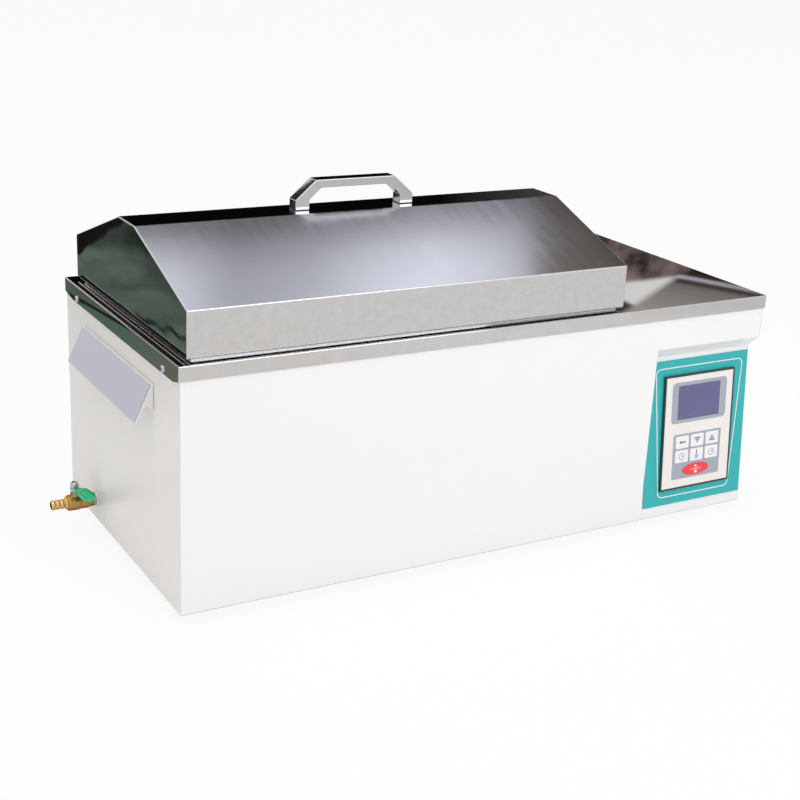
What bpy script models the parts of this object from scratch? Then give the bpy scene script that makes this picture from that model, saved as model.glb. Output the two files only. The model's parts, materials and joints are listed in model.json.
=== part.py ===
"""Shaking water bath: steel tank under a hipped lid, machine room and tilted control panel beside it.

Metres, +Z up, front towards -Y.  The origin is on the table, below the middle of the overall box.
Places are counted from the middle of the deck; the root empty then shifts the whole object so
that the drain cock on the left and the handle on the right end at the same distance.
"""
from math import atan2, cos, pi, radians, sin, tan

import bmesh
import bpy
from mathutils import Matrix, Vector

# Driving sizes of the casing and deck
DECK_LENGTH = 0.760
DECK_DEPTH = 0.362
CASE_HEIGHT = 0.271
FOOT_HEIGHT = 0.012
FOOT_RADIUS = 0.016
FOOT_INSET = 0.060
FOOT_CHAMFER = 0.002
SHEET = 0.0012
FIT = 0.0003
DECK_BAND = 0.016
DECK_END_FLANGE = 0.0202
DECK_TRIM_FRONT = 0.016
DECK_TRIM_REAR = 0.030
CASE_RETURN = 0.015
BASE_SHEET = 0.0015
DECK_SCREW_HEAD = 0.0038
DECK_SCREW_DOME = 0.0022
DECK_SCREW_SHANK = 0.0020
DECK_SCREW_LENGTH = 0.008
DECK_SCREW_INSET = 0.044
DECK_SCREW_DROP = 0.0152

# Tank, jacket and lid
TANK_FROM_LID_END = 0.01725
TANK_FROM_LID_SIDE = 0.0208
TANK_DEPTH = 0.195
TANK_RIM = 0.0085
JACKET = 0.018
LID_LEFT = 0.0116
LID_FRONT = 0.0081
LID_REAR = 0.0123
MACHINE_ROOM = 0.2139
LID_GAP = 0.003
LID_SKIRT = 0.050
LID_RISE = 0.0516
LID_RIDGE = 0.049
LID_HEM = 0.012
LID_SEAT_INSET = 0.006
LID_HANDLE_LENGTH = 0.149
LID_HANDLE_HEIGHT = 0.033
LID_HANDLE_DEPTH = 0.017
LID_HANDLE_BAR = 0.0092
LID_HANDLE_LEG = 0.017
LID_HANDLE_SHOULDER = 0.0114
LID_HANDLE_CORNER = 0.025
LID_SCREW_SHANK = 0.0020
LID_SCREW_HEAD = 0.0040
LID_SCREW_HEAD_HEIGHT = 0.0024
LID_SCREW_LENGTH = 0.009

# Carrying handles, measured outwards from the wall and up from the casing's bottom
GRIP_FRONT = 0.0715
GRIP_REAR = 0.0665
GRIP_TOP = 0.230
GRIP_TOP_REACH = 0.0035
GRIP_LIP_REACH = 0.0218
GRIP_LIP_HEIGHT = 0.1913
GRIP_LIP = 0.0021
GRIP_HEEL = 0.202
GRIP_GROOVE_RISE = 0.0105
GRIP_GROOVE_STEPS = 8
GRIP_FACE = 0.0012
GRIP_CHEEK = 0.0015

# Control recess and controller, measured on the sloped panel
RECESS_WIDTH = 0.160
RECESS_DEPTH = 0.0176
RECESS_FOOT = 0.0008
RECESS_LIP = 0.2185
PANEL_TOP = 0.2028
PANEL_SHEET = 0.001
PANEL_MARGIN = 0.003
PANEL_HEIGHT = 0.184
PANEL_MIDDLE = 0.106
BEZEL_WIDTH = 0.109
BEZEL_HEIGHT = 0.1456
BEZEL_RIM = 0.002
BEZEL_PROUD = 0.0034
BEZEL_SHELF = 0.0007
BEZEL_BOX_INSET = 0.0045
BEZEL_BOX_WALL = 0.002
BEZEL_BOX_DEPTH = 0.034
FACE_SHEET = 0.0020
BOARD_SHEET = 0.0016
BOARD_DROP = 0.0043
DISPLAY_WIDTH = 0.066
DISPLAY_HEIGHT = 0.0432
DISPLAY_MIDDLE = 0.1431
DISPLAY_SINK = 0.0003
KEY_WIDTH = 0.0205
KEY_HEIGHT = 0.016
KEY_PITCH_X = 0.0235
KEY_PITCH_Y = 0.0183
KEY_LOWER_ROW = 0.0747
KEY_PROUD = 0.0007
KEY_DEPTH = 0.0042
RUN_KEY_WIDTH = 0.0415
RUN_KEY_HEIGHT = 0.015
RUN_KEY_MIDDLE = 0.0559

# Drain cock on the left wall
VALVE_FROM_REAR = 0.094
VALVE_HEIGHT = 0.0265
VALVE_START = 0.0045
VALVE_END = 0.0355
VALVE_STEM_REACH = 0.026
VALVE_RADIUS = 0.0094
VALVE_OUTER_LENGTH = 0.0146
VALVE_INNER_RADIUS = 0.0089
VALVE_GROOVE = 0.0007
VALVE_CHAMFER = 0.0014
VALVE_NECK = 0.0078
VALVE_NECK_LENGTH = 0.0065
VALVE_BORE = 0.0034
BALL_RADIUS = 0.0062
BALL_SEAT = 0.0020
STEM_RADIUS = 0.0024
BONNET_RADIUS = 0.0052
BONNET_TOP = 0.0120
PACKING_NUT_HEIGHT = 0.0030
LEVER_SHEET = 0.0024
LEVER_WIDTH = 0.0165
LEVER_LENGTH = 0.0303
LEVER_CORNER = 0.0065
LEVER_ROOT = 0.0048
LEVER_FALL = 0.0060
LEVER_BEND = 0.0115
LEVER_END_STEPS = 5
LEVER_ANGLE = radians(-65.0)
LEVER_NUT_RADIUS = 0.0054
LEVER_NUT_HEIGHT = 0.0034
LEVER_CAP_RADIUS = 0.0046
LEVER_CAP_HEIGHT = 0.0036
LEVER_CAP_STEPS = 4
BARB_REACH = 0.0545
BARB_RADIUS = 0.0058
BARB_NECK = 0.0046
BARB_RIDGES = 3
BARB_RIDGE = 0.0042
BARB_SHARPNESS = 0.9
BARB_COLLAR = 0.0075
BARB_COLLAR_LENGTH = 0.004
DRAIN_RADIUS = 0.0068
DRAIN_BORE = 0.0048
DRAIN_BEND = 0.020
DRAIN_BEND_STEPS = 5
DRAIN_FROM_TANK_END = 0.040

# Heating and sensing
HEATER_RADIUS = 0.004
HEATER_HEIGHT = 0.018
HEATER_PITCH = 0.060
HEATER_PASSES = 4
HEATER_END_ROOM = 0.040
HEATER_TAIL = 0.022
HEATER_BEND_STEPS = 6
GLAND_RADIUS = 0.010
GLAND_LENGTH = 0.012
HEATER_COVER_HEIGHT = 0.040
HEATER_COVER_END_ROOM = 0.040
HEATER_COVER_SIDE_ROOM = 0.019
HEATER_COVER_HOLE = 0.009
HEATER_COVER_COLUMNS = 7
HEATER_COVER_ROWS = 4
PROBE_RADIUS = 0.003
PROBE_REACH = 0.030
PROBE_COLLAR = 0.008
PROBE_COLLAR_LENGTH = 0.014
PROBE_HEIGHT = 0.060

# Shaker
RAIL_RADIUS = 0.005
RAIL_INSET = 0.018
RAIL_DROP = 0.022
SHAKE_STROKE = 0.010
TRAY_END_ROOM = 0.080
TRAY_SIDE_ROOM = 0.032
TRAY_RIM = 0.014
TRAY_HEIGHT = 0.070
TRAY_SHEET = 0.0015
TRAY_HOLE = 0.012
TRAY_COLUMNS = 6
TRAY_ROWS = 4
BEAM_THICKNESS = 0.008
BEAM_HEIGHT = 0.020
BEAM_FROM_TRAY_END = 0.014
BEAM_END = 0.010
SIDE_BAR = 0.006
STRAP_WIDTH = 0.020
STRAP_SHEET = 0.002
ARM_WIDTH = 0.018
ARM_HEIGHT = 0.006
ARM_CLEARANCE = 0.004
ARM_FOOT = 0.036
YOKE_FROM_TANK = 0.100
YOKE_LENGTH = 0.030
YOKE_WIDTH = 0.056
YOKE_SLOT = 0.012
YOKE_END = 0.008
CRANK_RADIUS = 0.024
CRANK_SHEET = 0.006
CRANK_PIN = 0.0055
CRANK_PIN_HEIGHT = 0.008
SHAFT_RADIUS = 0.005
SHAFT_LENGTH = 0.034
GEARBOX = 0.064
GEARBOX_HEIGHT = 0.056
MOTOR_RADIUS = 0.029
MOTOR_HEIGHT = 0.078
BRACKET_SHEET = 0.003
BRACKET_WIDTH = 0.094
BRACKET_DEPTH = 0.084
BRACKET_FOOT = 0.014
BRACKET_BELOW_CRANK = 0.018

# Mains side, on the rear panel and base
INLET_WIDTH = 0.0315
INLET_HEIGHT = 0.0245
INLET_FLANGE = 0.0020
INLET_LIP = 0.004
INLET_DEPTH = 0.022
INLET_WALL = 0.0025
INLET_PIN = 0.004
INLET_PIN_LENGTH = 0.011
INLET_PIN_PITCH = 0.007
INLET_PIN_RISE = 0.004
INLET_FROM_RIGHT = 0.095
INLET_UP = 0.070
SWITCH_WIDTH = 0.0155
SWITCH_HEIGHT = 0.0215
SWITCH_FLANGE = 0.0012
SWITCH_LIP = 0.0025
SWITCH_WALL = 0.0012
SWITCH_DEPTH = 0.016
SWITCH_ABOVE_INLET = 0.048
ROCKER_TILT = radians(9.0)
ROCKER_GAP = 0.0010
ROCKER_THICKNESS = 0.006
VENT_WIDTH = 0.0045
VENT_HEIGHT = 0.050
VENT_ABOVE_SWITCH = 0.040
VENT_PITCH = 0.012
VENT_COUNT = 7
RELAY_LENGTH = 0.058
RELAY_WIDTH = 0.045
RELAY_HEIGHT = 0.024
RELAY_FROM_RIGHT = 0.075
RELAY_FROM_REAR = 0.100
SINK_FIN_THICKNESS = 0.003
SINK_FIN_HEIGHT = 0.018
SINK_PLATE = 0.004
SINK_FINS = 6

# Places worked out from the driving sizes
MARGIN = 0.010
DECK_LEFT = -DECK_LENGTH / 2
DECK_RIGHT = DECK_LENGTH / 2
DECK_FRONT = -DECK_DEPTH / 2
DECK_REAR = DECK_DEPTH / 2
CASE_BOTTOM = FOOT_HEIGHT
DECK_TOP = CASE_BOTTOM + CASE_HEIGHT
CASE_TOP = DECK_TOP - SHEET - FIT
CASE_LEFT = DECK_LEFT + SHEET + FIT
CASE_RIGHT = DECK_RIGHT - SHEET - FIT
CASE_FRONT = DECK_FRONT + SHEET + FIT
CASE_REAR = DECK_REAR - SHEET - FIT
REAR_PANEL_OUTSIDE = CASE_REAR - SHEET - FIT
BASE_BOTTOM = CASE_BOTTOM + SHEET + FIT
BASE_TOP = BASE_BOTTOM + BASE_SHEET

LID_LENGTH = DECK_LENGTH - LID_LEFT - MACHINE_ROOM
LID_DEPTH = DECK_DEPTH - LID_FRONT - LID_REAR
LID_MIDDLE_X = DECK_LEFT + LID_LEFT + LID_LENGTH / 2
LID_MIDDLE_Y = DECK_FRONT + LID_FRONT + LID_DEPTH / 2
LID_BOTTOM = DECK_TOP + LID_GAP
SEAT_TOP = LID_BOTTOM - FIT
SEAT_LENGTH = LID_LENGTH - 2 * LID_SEAT_INSET
SEAT_DEPTH = LID_DEPTH - 2 * LID_SEAT_INSET
TANK_LENGTH = LID_LENGTH - 2 * TANK_FROM_LID_END
TANK_WIDTH = LID_DEPTH - 2 * TANK_FROM_LID_SIDE
TANK_TOP = SEAT_TOP - SHEET - FIT
TANK_FLOOR = TANK_TOP - TANK_DEPTH
TANK_LEFT = LID_MIDDLE_X - TANK_LENGTH / 2
TANK_RIGHT = LID_MIDDLE_X + TANK_LENGTH / 2
TANK_FRONT = LID_MIDDLE_Y - TANK_WIDTH / 2
TANK_REAR = LID_MIDDLE_Y + TANK_WIDTH / 2

PANEL_TILT = atan2(RECESS_DEPTH - RECESS_FOOT, PANEL_TOP)
PANEL_X = DECK_RIGHT - RECESS_WIDTH / 2
PANEL_WIDTH = RECESS_WIDTH - 2 * PANEL_MARGIN
BEZEL_BACK = FIT + PANEL_SHEET + FIT
BEZEL_FRONT = BEZEL_BACK + BEZEL_PROUD
FACE_BACK = BEZEL_BACK + BEZEL_SHELF + FIT
FACE_FRONT = FACE_BACK + FACE_SHEET
BOX_WIDTH = BEZEL_WIDTH - 2 * BEZEL_BOX_INSET
BOX_HEIGHT = BEZEL_HEIGHT - 2 * BEZEL_BOX_INSET

VALVE_Y = DECK_REAR - VALVE_FROM_REAR
VALVE_Z = CASE_BOTTOM + VALVE_HEIGHT
VALVE_X = CASE_LEFT - VALVE_STEM_REACH
BONNET_Z = VALVE_Z + BONNET_TOP
LEVER_Z = BONNET_Z + FIT + PACKING_NUT_HEIGHT + FIT
LEVER_NUT_Z = LEVER_Z + LEVER_SHEET + FIT

HEATER_COVER_LENGTH = TANK_LENGTH - 2 * HEATER_COVER_END_ROOM
HEATER_COVER_WIDTH = TANK_WIDTH - 2 * HEATER_COVER_SIDE_ROOM

RAIL_Z = TANK_TOP - RAIL_DROP
RAIL_Y = TANK_WIDTH / 2 - RAIL_INSET
TRAY_LENGTH = TANK_LENGTH - 2 * TRAY_END_ROOM
TRAY_WIDTH = TANK_WIDTH - 2 * TRAY_SIDE_ROOM
TRAY_Z = TANK_FLOOR + TRAY_HEIGHT
BEAM_X = TRAY_LENGTH / 2 - BEAM_FROM_TRAY_END
CRANK_X = TANK_RIGHT + YOKE_FROM_TANK
CRANK_TOP = RAIL_Z - ARM_HEIGHT / 2 - FIT - CRANK_PIN_HEIGHT
CRANK_BOTTOM = CRANK_TOP - CRANK_SHEET
BRACKET_TOP = CRANK_BOTTOM - BRACKET_BELOW_CRANK
GEARBOX_TOP = BRACKET_TOP - BRACKET_SHEET - FIT

INLET_X = CASE_RIGHT - INLET_FROM_RIGHT
INLET_Z = CASE_BOTTOM + INLET_UP
SWITCH_Z = INLET_Z + SWITCH_ABOVE_INLET
VENT_BOTTOM = SWITCH_Z + VENT_ABOVE_SWITCH

GRIP_LENGTH = CASE_REAR - CASE_FRONT - GRIP_FRONT - GRIP_REAR

LEFT_END = CASE_LEFT - BARB_REACH
RIGHT_END = CASE_RIGHT + FIT + GRIP_LIP_REACH

# Turns that lay a flat outline across an axis
ACROSS = {
    "x": Matrix(((0, 0, 1), (1, 0, 0), (0, 1, 0))),
    "y": Matrix(((1, 0, 0), (0, 0, -1), (0, 1, 0))),
    "z": Matrix.Identity(3),
}

FINISHES = {
    "white_enamel": ((0.86, 0.86, 0.84), 0.35, 0.0),
    "steel": ((0.62, 0.61, 0.60), 0.22, 1.0),
    "chrome": ((0.75, 0.75, 0.76), 0.08, 1.0),
    "teal": ((0.03, 0.42, 0.41), 0.40, 0.0),
    "black_plastic": ((0.02, 0.02, 0.02), 0.45, 0.0),
    "cream_plastic": ((0.82, 0.80, 0.76), 0.45, 0.0),
    "white_key": ((0.85, 0.85, 0.86), 0.50, 0.0),
    "red_key": ((0.80, 0.03, 0.05), 0.45, 0.0),
    "display_glass": ((0.10, 0.09, 0.26), 0.12, 0.0),
    "grip_grey": ((0.46, 0.48, 0.56), 0.40, 0.0),
    "brass": ((0.60, 0.36, 0.12), 0.28, 1.0),
    "green_dip": ((0.01, 0.42, 0.18), 0.30, 0.0),
    "board_green": ((0.03, 0.20, 0.09), 0.50, 0.0),
    "glass_wool": ((0.75, 0.68, 0.42), 0.95, 0.0),
    "rubber": ((0.03, 0.03, 0.03), 0.80, 0.0),
    "motor_grey": ((0.20, 0.21, 0.22), 0.50, 0.4),
    "aluminium": ((0.70, 0.71, 0.72), 0.35, 1.0),
}


def clear_scene():
    """Remove whatever objects the file opened with."""
    for item in list(bpy.data.objects):
        bpy.data.objects.remove(item, do_unlink=True)


def make_collection(name):
    collection = bpy.data.collections.new(name)
    bpy.context.scene.collection.children.link(collection)
    return collection


def make_material(name):
    """One Principled finish from its colour, roughness and metallic value."""
    colour, roughness, metallic = FINISHES[name]
    material = bpy.data.materials.new(name)
    material.use_nodes = True
    shader = material.node_tree.nodes["Principled BSDF"]
    shader.inputs["Base Color"].default_value = (*colour, 1.0)
    shader.inputs["Roughness"].default_value = roughness
    shader.inputs["Metallic"].default_value = metallic
    material.diffuse_color = (*colour, 1.0)
    return material


clear_scene()
PARTS = make_collection("water_bath")
CUTTERS = make_collection("cutters")
MATERIALS = {name: make_material(name) for name in FINISHES}


def make_empty(name, at, parent=None, turn=(0.0, 0.0, 0.0)):
    empty = bpy.data.objects.new(name, None)
    empty.empty_display_size = 0.03
    empty.location = at
    empty.rotation_euler = turn
    empty.parent = parent
    CUTTERS.objects.link(empty)
    return empty


ROOT = make_empty("water_bath_origin", (-(LEFT_END + RIGHT_END) / 2, 0.0, 0.0))
PANEL = make_empty(
    "panel_plane",
    (PANEL_X, CASE_FRONT + RECESS_FOOT, CASE_BOTTOM),
    ROOT,
    (pi / 2 - PANEL_TILT, 0.0, 0.0),
)
LID = make_empty("lid_lift_axis", (LID_MIDDLE_X, LID_MIDDLE_Y, LID_BOTTOM), ROOT)
LEVER = make_empty("lever_axis", (VALVE_X, VALVE_Y, VALVE_Z), ROOT, (0.0, 0.0, LEVER_ANGLE))
SHAKER = make_empty("shaker_slide", (LID_MIDDLE_X, LID_MIDDLE_Y, RAIL_Z), ROOT)
CRANK = make_empty("crank_axis", (CRANK_X, LID_MIDDLE_Y, CRANK_BOTTOM), ROOT)
ROCKER_Y = REAR_PANEL_OUTSIDE + FIT + SWITCH_FLANGE - ROCKER_THICKNESS / 2
ROCKER = make_empty("rocker_axis", (INLET_X, ROCKER_Y, SWITCH_Z), ROOT, (ROCKER_TILT, 0.0, 0.0))


def place(name, mesh, finish, at, parent=ROOT, turn=None):
    """Put a mesh in the scene: a part when it has a finish, otherwise a hidden cutter."""
    piece = bpy.data.objects.new(name, mesh)
    piece.location = at
    if turn is not None:
        piece.rotation_euler = turn.to_euler()
    piece.parent = parent
    mesh.shade_smooth()
    mesh.set_sharp_from_angle(angle=radians(30))
    if finish is None:
        piece.hide_render = True
        piece.display_type = "WIRE"
        CUTTERS.objects.link(piece)
    else:
        mesh.materials.append(MATERIALS[finish])
        PARTS.objects.link(piece)
    return piece


def mesh_from(bm, name):
    bmesh.ops.recalc_face_normals(bm, faces=bm.faces)
    mesh = bpy.data.meshes.new(name)
    bm.to_mesh(mesh)
    bm.free()
    return mesh


def block(name, low, high, finish=None, parent=ROOT):
    """A box between two corners, with its origin in its middle."""
    low, high = Vector(low), Vector(high)
    bm = bmesh.new()
    bmesh.ops.create_cube(bm, size=1.0, matrix=Matrix.Diagonal((*(high - low), 1.0)))
    return place(name, mesh_from(bm, name), finish, (low + high) / 2, parent)


def rod(name, radius, start, end, finish=None, parent=ROOT, sides=20):
    """A round bar between two points, with its origin in its middle."""
    start, end = Vector(start), Vector(end)
    bm = bmesh.new()
    bmesh.ops.create_cone(
        bm, cap_ends=True, segments=sides, radius1=radius, radius2=radius, depth=(end - start).length
    )
    turn = Vector((0, 0, 1)).rotation_difference(end - start).to_matrix()
    return place(name, mesh_from(bm, name), finish, (start + end) / 2, parent, turn)


def ball(name, radius, at, finish=None, parent=ROOT):
    bm = bmesh.new()
    bmesh.ops.create_uvsphere(bm, u_segments=16, v_segments=10, radius=radius)
    return place(name, mesh_from(bm, name), finish, at, parent)


def mesh_from_curve(curve, name):
    """Evaluate a curve, weld its caps and give back the closed mesh."""
    guide = bpy.data.objects.new(name, curve)
    bpy.context.scene.collection.objects.link(guide)
    evaluated = guide.evaluated_get(bpy.context.evaluated_depsgraph_get())
    mesh = bpy.data.meshes.new_from_object(evaluated)
    bpy.data.objects.remove(guide, do_unlink=True)
    bm = bmesh.new()
    bm.from_mesh(mesh)
    bmesh.ops.remove_doubles(bm, verts=bm.verts, dist=1e-6)
    return mesh_from(bm, name)


def prism(name, outline, thickness, axis, finish=None, at=(0.0, 0.0, 0.0), parent=ROOT, holes=()):
    """A flat outline, with any holes, as a slab centred on its place and square to an axis.

    The outline's two numbers are (y, z) across x, (x, z) across y and (x, y) across z.
    """
    curve = bpy.data.curves.new(name, "CURVE")
    curve.dimensions = "2D"
    curve.fill_mode = "BOTH"
    curve.extrude = thickness / 2
    for loop in (outline, *holes):
        spline = curve.splines.new("POLY")
        spline.points.add(len(loop) - 1)
        for point, (u, v) in zip(spline.points, loop):
            point.co = (u, v, 0.0, 1.0)
        spline.use_cyclic_u = True
    return place(name, mesh_from_curve(curve, name), finish, at, parent, ACROSS[axis])


def tube(name, route, radius, finish=None, parent=ROOT):
    """A bent round bar along a list of points."""
    curve = bpy.data.curves.new(name, "CURVE")
    curve.dimensions = "3D"
    curve.bevel_depth = radius
    curve.bevel_resolution = 2
    curve.use_fill_caps = True
    spline = curve.splines.new("POLY")
    spline.points.add(len(route) - 1)
    for point, place_on_route in zip(spline.points, route):
        point.co = (*place_on_route, 1.0)
    return place(name, mesh_from_curve(curve, name), finish, (0.0, 0.0, 0.0), parent)


def turned(name, profile, finish, at, parent=ROOT, direction=(0, 0, 1), steps=20):
    """A turned shape: (radius, height) points from the top down, spun about a direction."""
    bm = bmesh.new()
    points = [bm.verts.new((radius, 0.0, height)) for radius, height in profile]
    for upper, lower in zip(points, points[1:]):
        bm.edges.new((upper, lower))
    mesh = bpy.data.meshes.new(name)
    bm.to_mesh(mesh)
    bm.free()
    turn = Vector((0, 0, 1)).rotation_difference(Vector(direction)).to_matrix()
    piece = place(name, mesh, finish, at, parent, turn)
    spin = piece.modifiers.new("spin", "SCREW")
    spin.axis = "Z"
    spin.steps = steps
    spin.render_steps = steps
    spin.use_merge_vertices = True
    spin.merge_threshold = 0.00001
    return piece


def combine(piece, operation, *others):
    """Cut other bodies out of a piece, join them to it, or keep what they share."""
    for other in others:
        modifier = piece.modifiers.new(other.name, "BOOLEAN")
        modifier.operation = operation
        modifier.solver = "EXACT"
        modifier.object = other


def cut(piece, *others):
    combine(piece, "DIFFERENCE", *others)


def join(piece, *others):
    combine(piece, "UNION", *others)


def circle(radius, middle=(0.0, 0.0), sides=16):
    """Points of a round outline."""
    steps = [2 * pi * step / sides for step in range(sides)]
    return [(middle[0] + radius * cos(turn), middle[1] + radius * sin(turn)) for turn in steps]


def hole_grid(name, radius, low, high, columns, rows, height):
    """One cutter of many upright round holes, spread evenly over a plan rectangle."""
    bm = bmesh.new()
    for column in range(columns):
        for row in range(rows):
            x = low[0] + (column + 0.5) * (high[0] - low[0]) / columns
            y = low[1] + (row + 0.5) * (high[1] - low[1]) / rows
            spot = Matrix.Translation((x, y, 0.0))
            bmesh.ops.create_cone(
                bm, cap_ends=True, segments=8, radius1=radius, radius2=radius, depth=height, matrix=spot
            )
    return mesh_from(bm, name)


def recess_cutter(name, wall):
    """The control recess, open to the front and the right end, grown inwards by a wall."""
    slope = tan(PANEL_TILT)
    lip_slope = RECESS_DEPTH / (RECESS_LIP - PANEL_TOP)
    panel_shift = RECESS_FOOT + wall / cos(PANEL_TILT)
    lip_shift = wall * (1 + lip_slope**2) ** 0.5
    corner_z = (lip_slope * RECESS_LIP + lip_shift - panel_shift) / (slope + lip_slope)
    outline = [
        (-MARGIN, -MARGIN),
        (panel_shift - MARGIN * slope, -MARGIN),
        (panel_shift + corner_z * slope, corner_z),
        (-MARGIN, RECESS_LIP + (MARGIN + lip_shift) / lip_slope),
    ]
    left = DECK_RIGHT - RECESS_WIDTH - wall
    right = DECK_RIGHT + MARGIN
    return prism(name, outline, right - left, "x", None, ((left + right) / 2, CASE_FRONT, CASE_BOTTOM))


def deck_screw_places():
    """Front and rear screw rows on the end flanges."""
    return {"front": DECK_FRONT + DECK_SCREW_INSET, "rear": DECK_REAR - DECK_SCREW_INSET}


def cut_deck_screw_holes(piece):
    for row, y in deck_screw_places().items():
        z = DECK_TOP - DECK_SCREW_DROP
        start = (DECK_LEFT - MARGIN, y, z)
        end = (DECK_RIGHT + MARGIN, y, z)
        cut(piece, rod(f"{piece.name}_screw_hole_{row}", DECK_SCREW_SHANK + FIT, start, end))


def build_casing():
    casing = block(
        "casing", (CASE_LEFT, CASE_FRONT, CASE_BOTTOM), (CASE_RIGHT, CASE_REAR, CASE_TOP), "white_enamel"
    )
    cavity = block(
        "case_cavity",
        (CASE_LEFT + SHEET, CASE_FRONT + SHEET, CASE_BOTTOM + SHEET),
        (CASE_RIGHT - SHEET, CASE_REAR - SHEET, CASE_TOP + MARGIN),
    )
    cut(cavity, recess_cutter("recess_wall", SHEET))
    bottom_window = block(
        "bottom_window",
        (CASE_LEFT + CASE_RETURN, CASE_FRONT + RECESS_FOOT + CASE_RETURN, CASE_BOTTOM - MARGIN),
        (CASE_RIGHT - CASE_RETURN, CASE_REAR - CASE_RETURN, CASE_BOTTOM + MARGIN),
    )
    rear_window = block(
        "rear_window",
        (CASE_LEFT + CASE_RETURN, CASE_REAR - MARGIN, CASE_BOTTOM + CASE_RETURN),
        (CASE_RIGHT - CASE_RETURN, CASE_REAR + MARGIN, CASE_TOP + MARGIN),
    )
    drain_hole = rod(
        "drain_hole",
        DRAIN_RADIUS + FIT,
        (CASE_LEFT - MARGIN, VALVE_Y, VALVE_Z),
        (CASE_LEFT + MARGIN, VALVE_Y, VALVE_Z),
    )
    cut(casing, recess_cutter("recess", 0.0), cavity, bottom_window, rear_window)
    cut(casing, controller_window("case_controller_window"), drain_hole)
    cut_deck_screw_holes(casing)


def build_base():
    inset = CASE_RETURN / 2
    block(
        "base_plate",
        (CASE_LEFT + inset, CASE_FRONT + inset, BASE_BOTTOM),
        (CASE_RIGHT - inset, CASE_REAR - inset, BASE_TOP),
        "aluminium",
    )
    top = BASE_BOTTOM - FIT
    profile = [
        (0.0, top),
        (FOOT_RADIUS, top),
        (FOOT_RADIUS, FOOT_CHAMFER),
        (FOOT_RADIUS - FOOT_CHAMFER, 0.0),
        (0.0, 0.0),
    ]
    for side, x in (("left", CASE_LEFT + FOOT_INSET), ("right", CASE_RIGHT - FOOT_INSET)):
        for row, y in (("front", CASE_FRONT + FOOT_INSET), ("rear", CASE_REAR - FOOT_INSET)):
            turned(f"foot_{row}_{side}", profile, "rubber", (x, y, 0.0))


def build_deck():
    flange_bottom = DECK_TOP - DECK_END_FLANGE
    deck = block(
        "deck", (DECK_LEFT, DECK_FRONT, flange_bottom), (DECK_RIGHT, DECK_REAR, DECK_TOP), "steel"
    )
    half_x = SEAT_LENGTH / 2
    half_y = SEAT_DEPTH / 2
    seat = block(
        "lid_seat",
        (LID_MIDDLE_X - half_x, LID_MIDDLE_Y - half_y, DECK_TOP - SHEET),
        (LID_MIDDLE_X + half_x, LID_MIDDLE_Y + half_y, SEAT_TOP),
    )
    pocket = block(
        "deck_underside",
        (DECK_LEFT + SHEET, DECK_FRONT + SHEET, flange_bottom - MARGIN),
        (DECK_RIGHT - SHEET, DECK_REAR - SHEET, DECK_TOP - SHEET),
    )
    seat_pocket = block(
        "seat_underside",
        (LID_MIDDLE_X - half_x + SHEET, LID_MIDDLE_Y - half_y + SHEET, DECK_TOP - MARGIN),
        (LID_MIDDLE_X + half_x - SHEET, LID_MIDDLE_Y + half_y - SHEET, SEAT_TOP - SHEET),
    )
    opening = block(
        "deck_opening",
        (TANK_LEFT, TANK_FRONT, DECK_TOP - MARGIN),
        (TANK_RIGHT, TANK_REAR, SEAT_TOP + MARGIN),
    )
    drop = DECK_END_FLANGE - DECK_BAND
    length = DECK_LENGTH + 2 * MARGIN
    front_outline = [
        (DECK_TRIM_FRONT, -DECK_END_FLANGE),
        (DECK_TRIM_FRONT, -DECK_END_FLANGE - MARGIN),
        (-MARGIN, -DECK_END_FLANGE - MARGIN),
        (-MARGIN, -DECK_BAND + MARGIN * drop / DECK_TRIM_FRONT),
    ]
    rear_outline = [
        (-DECK_TRIM_REAR, -DECK_END_FLANGE),
        (MARGIN, -DECK_BAND + MARGIN * drop / DECK_TRIM_REAR),
        (MARGIN, -DECK_END_FLANGE - MARGIN),
        (-DECK_TRIM_REAR, -DECK_END_FLANGE - MARGIN),
    ]
    front_trim = prism("front_trim", front_outline, length, "x", None, (0.0, DECK_FRONT, DECK_TOP))
    rear_trim = prism("rear_trim", rear_outline, length, "x", None, (0.0, DECK_REAR, DECK_TOP))
    join(deck, seat)
    cut(deck, pocket, seat_pocket, opening, front_trim, rear_trim)
    cut_deck_screw_holes(deck)
    build_deck_screws()


def build_deck_screws():
    profile = [
        (0.0, DECK_SCREW_DOME),
        (DECK_SCREW_HEAD * 0.6, DECK_SCREW_DOME * 0.85),
        (DECK_SCREW_HEAD, DECK_SCREW_DOME * 0.25),
        (DECK_SCREW_HEAD, 0.0),
        (DECK_SCREW_SHANK, 0.0),
        (DECK_SCREW_SHANK, -DECK_SCREW_LENGTH),
        (0.0, -DECK_SCREW_LENGTH),
    ]
    z = DECK_TOP - DECK_SCREW_DROP
    for row, y in deck_screw_places().items():
        turned(f"deck_screw_{row}_left", profile, "chrome", (DECK_LEFT - FIT, y, z), ROOT, (-1, 0, 0), 14)
        turned(f"deck_screw_{row}_right", profile, "chrome", (DECK_RIGHT + FIT, y, z), ROOT, (1, 0, 0), 14)


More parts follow.
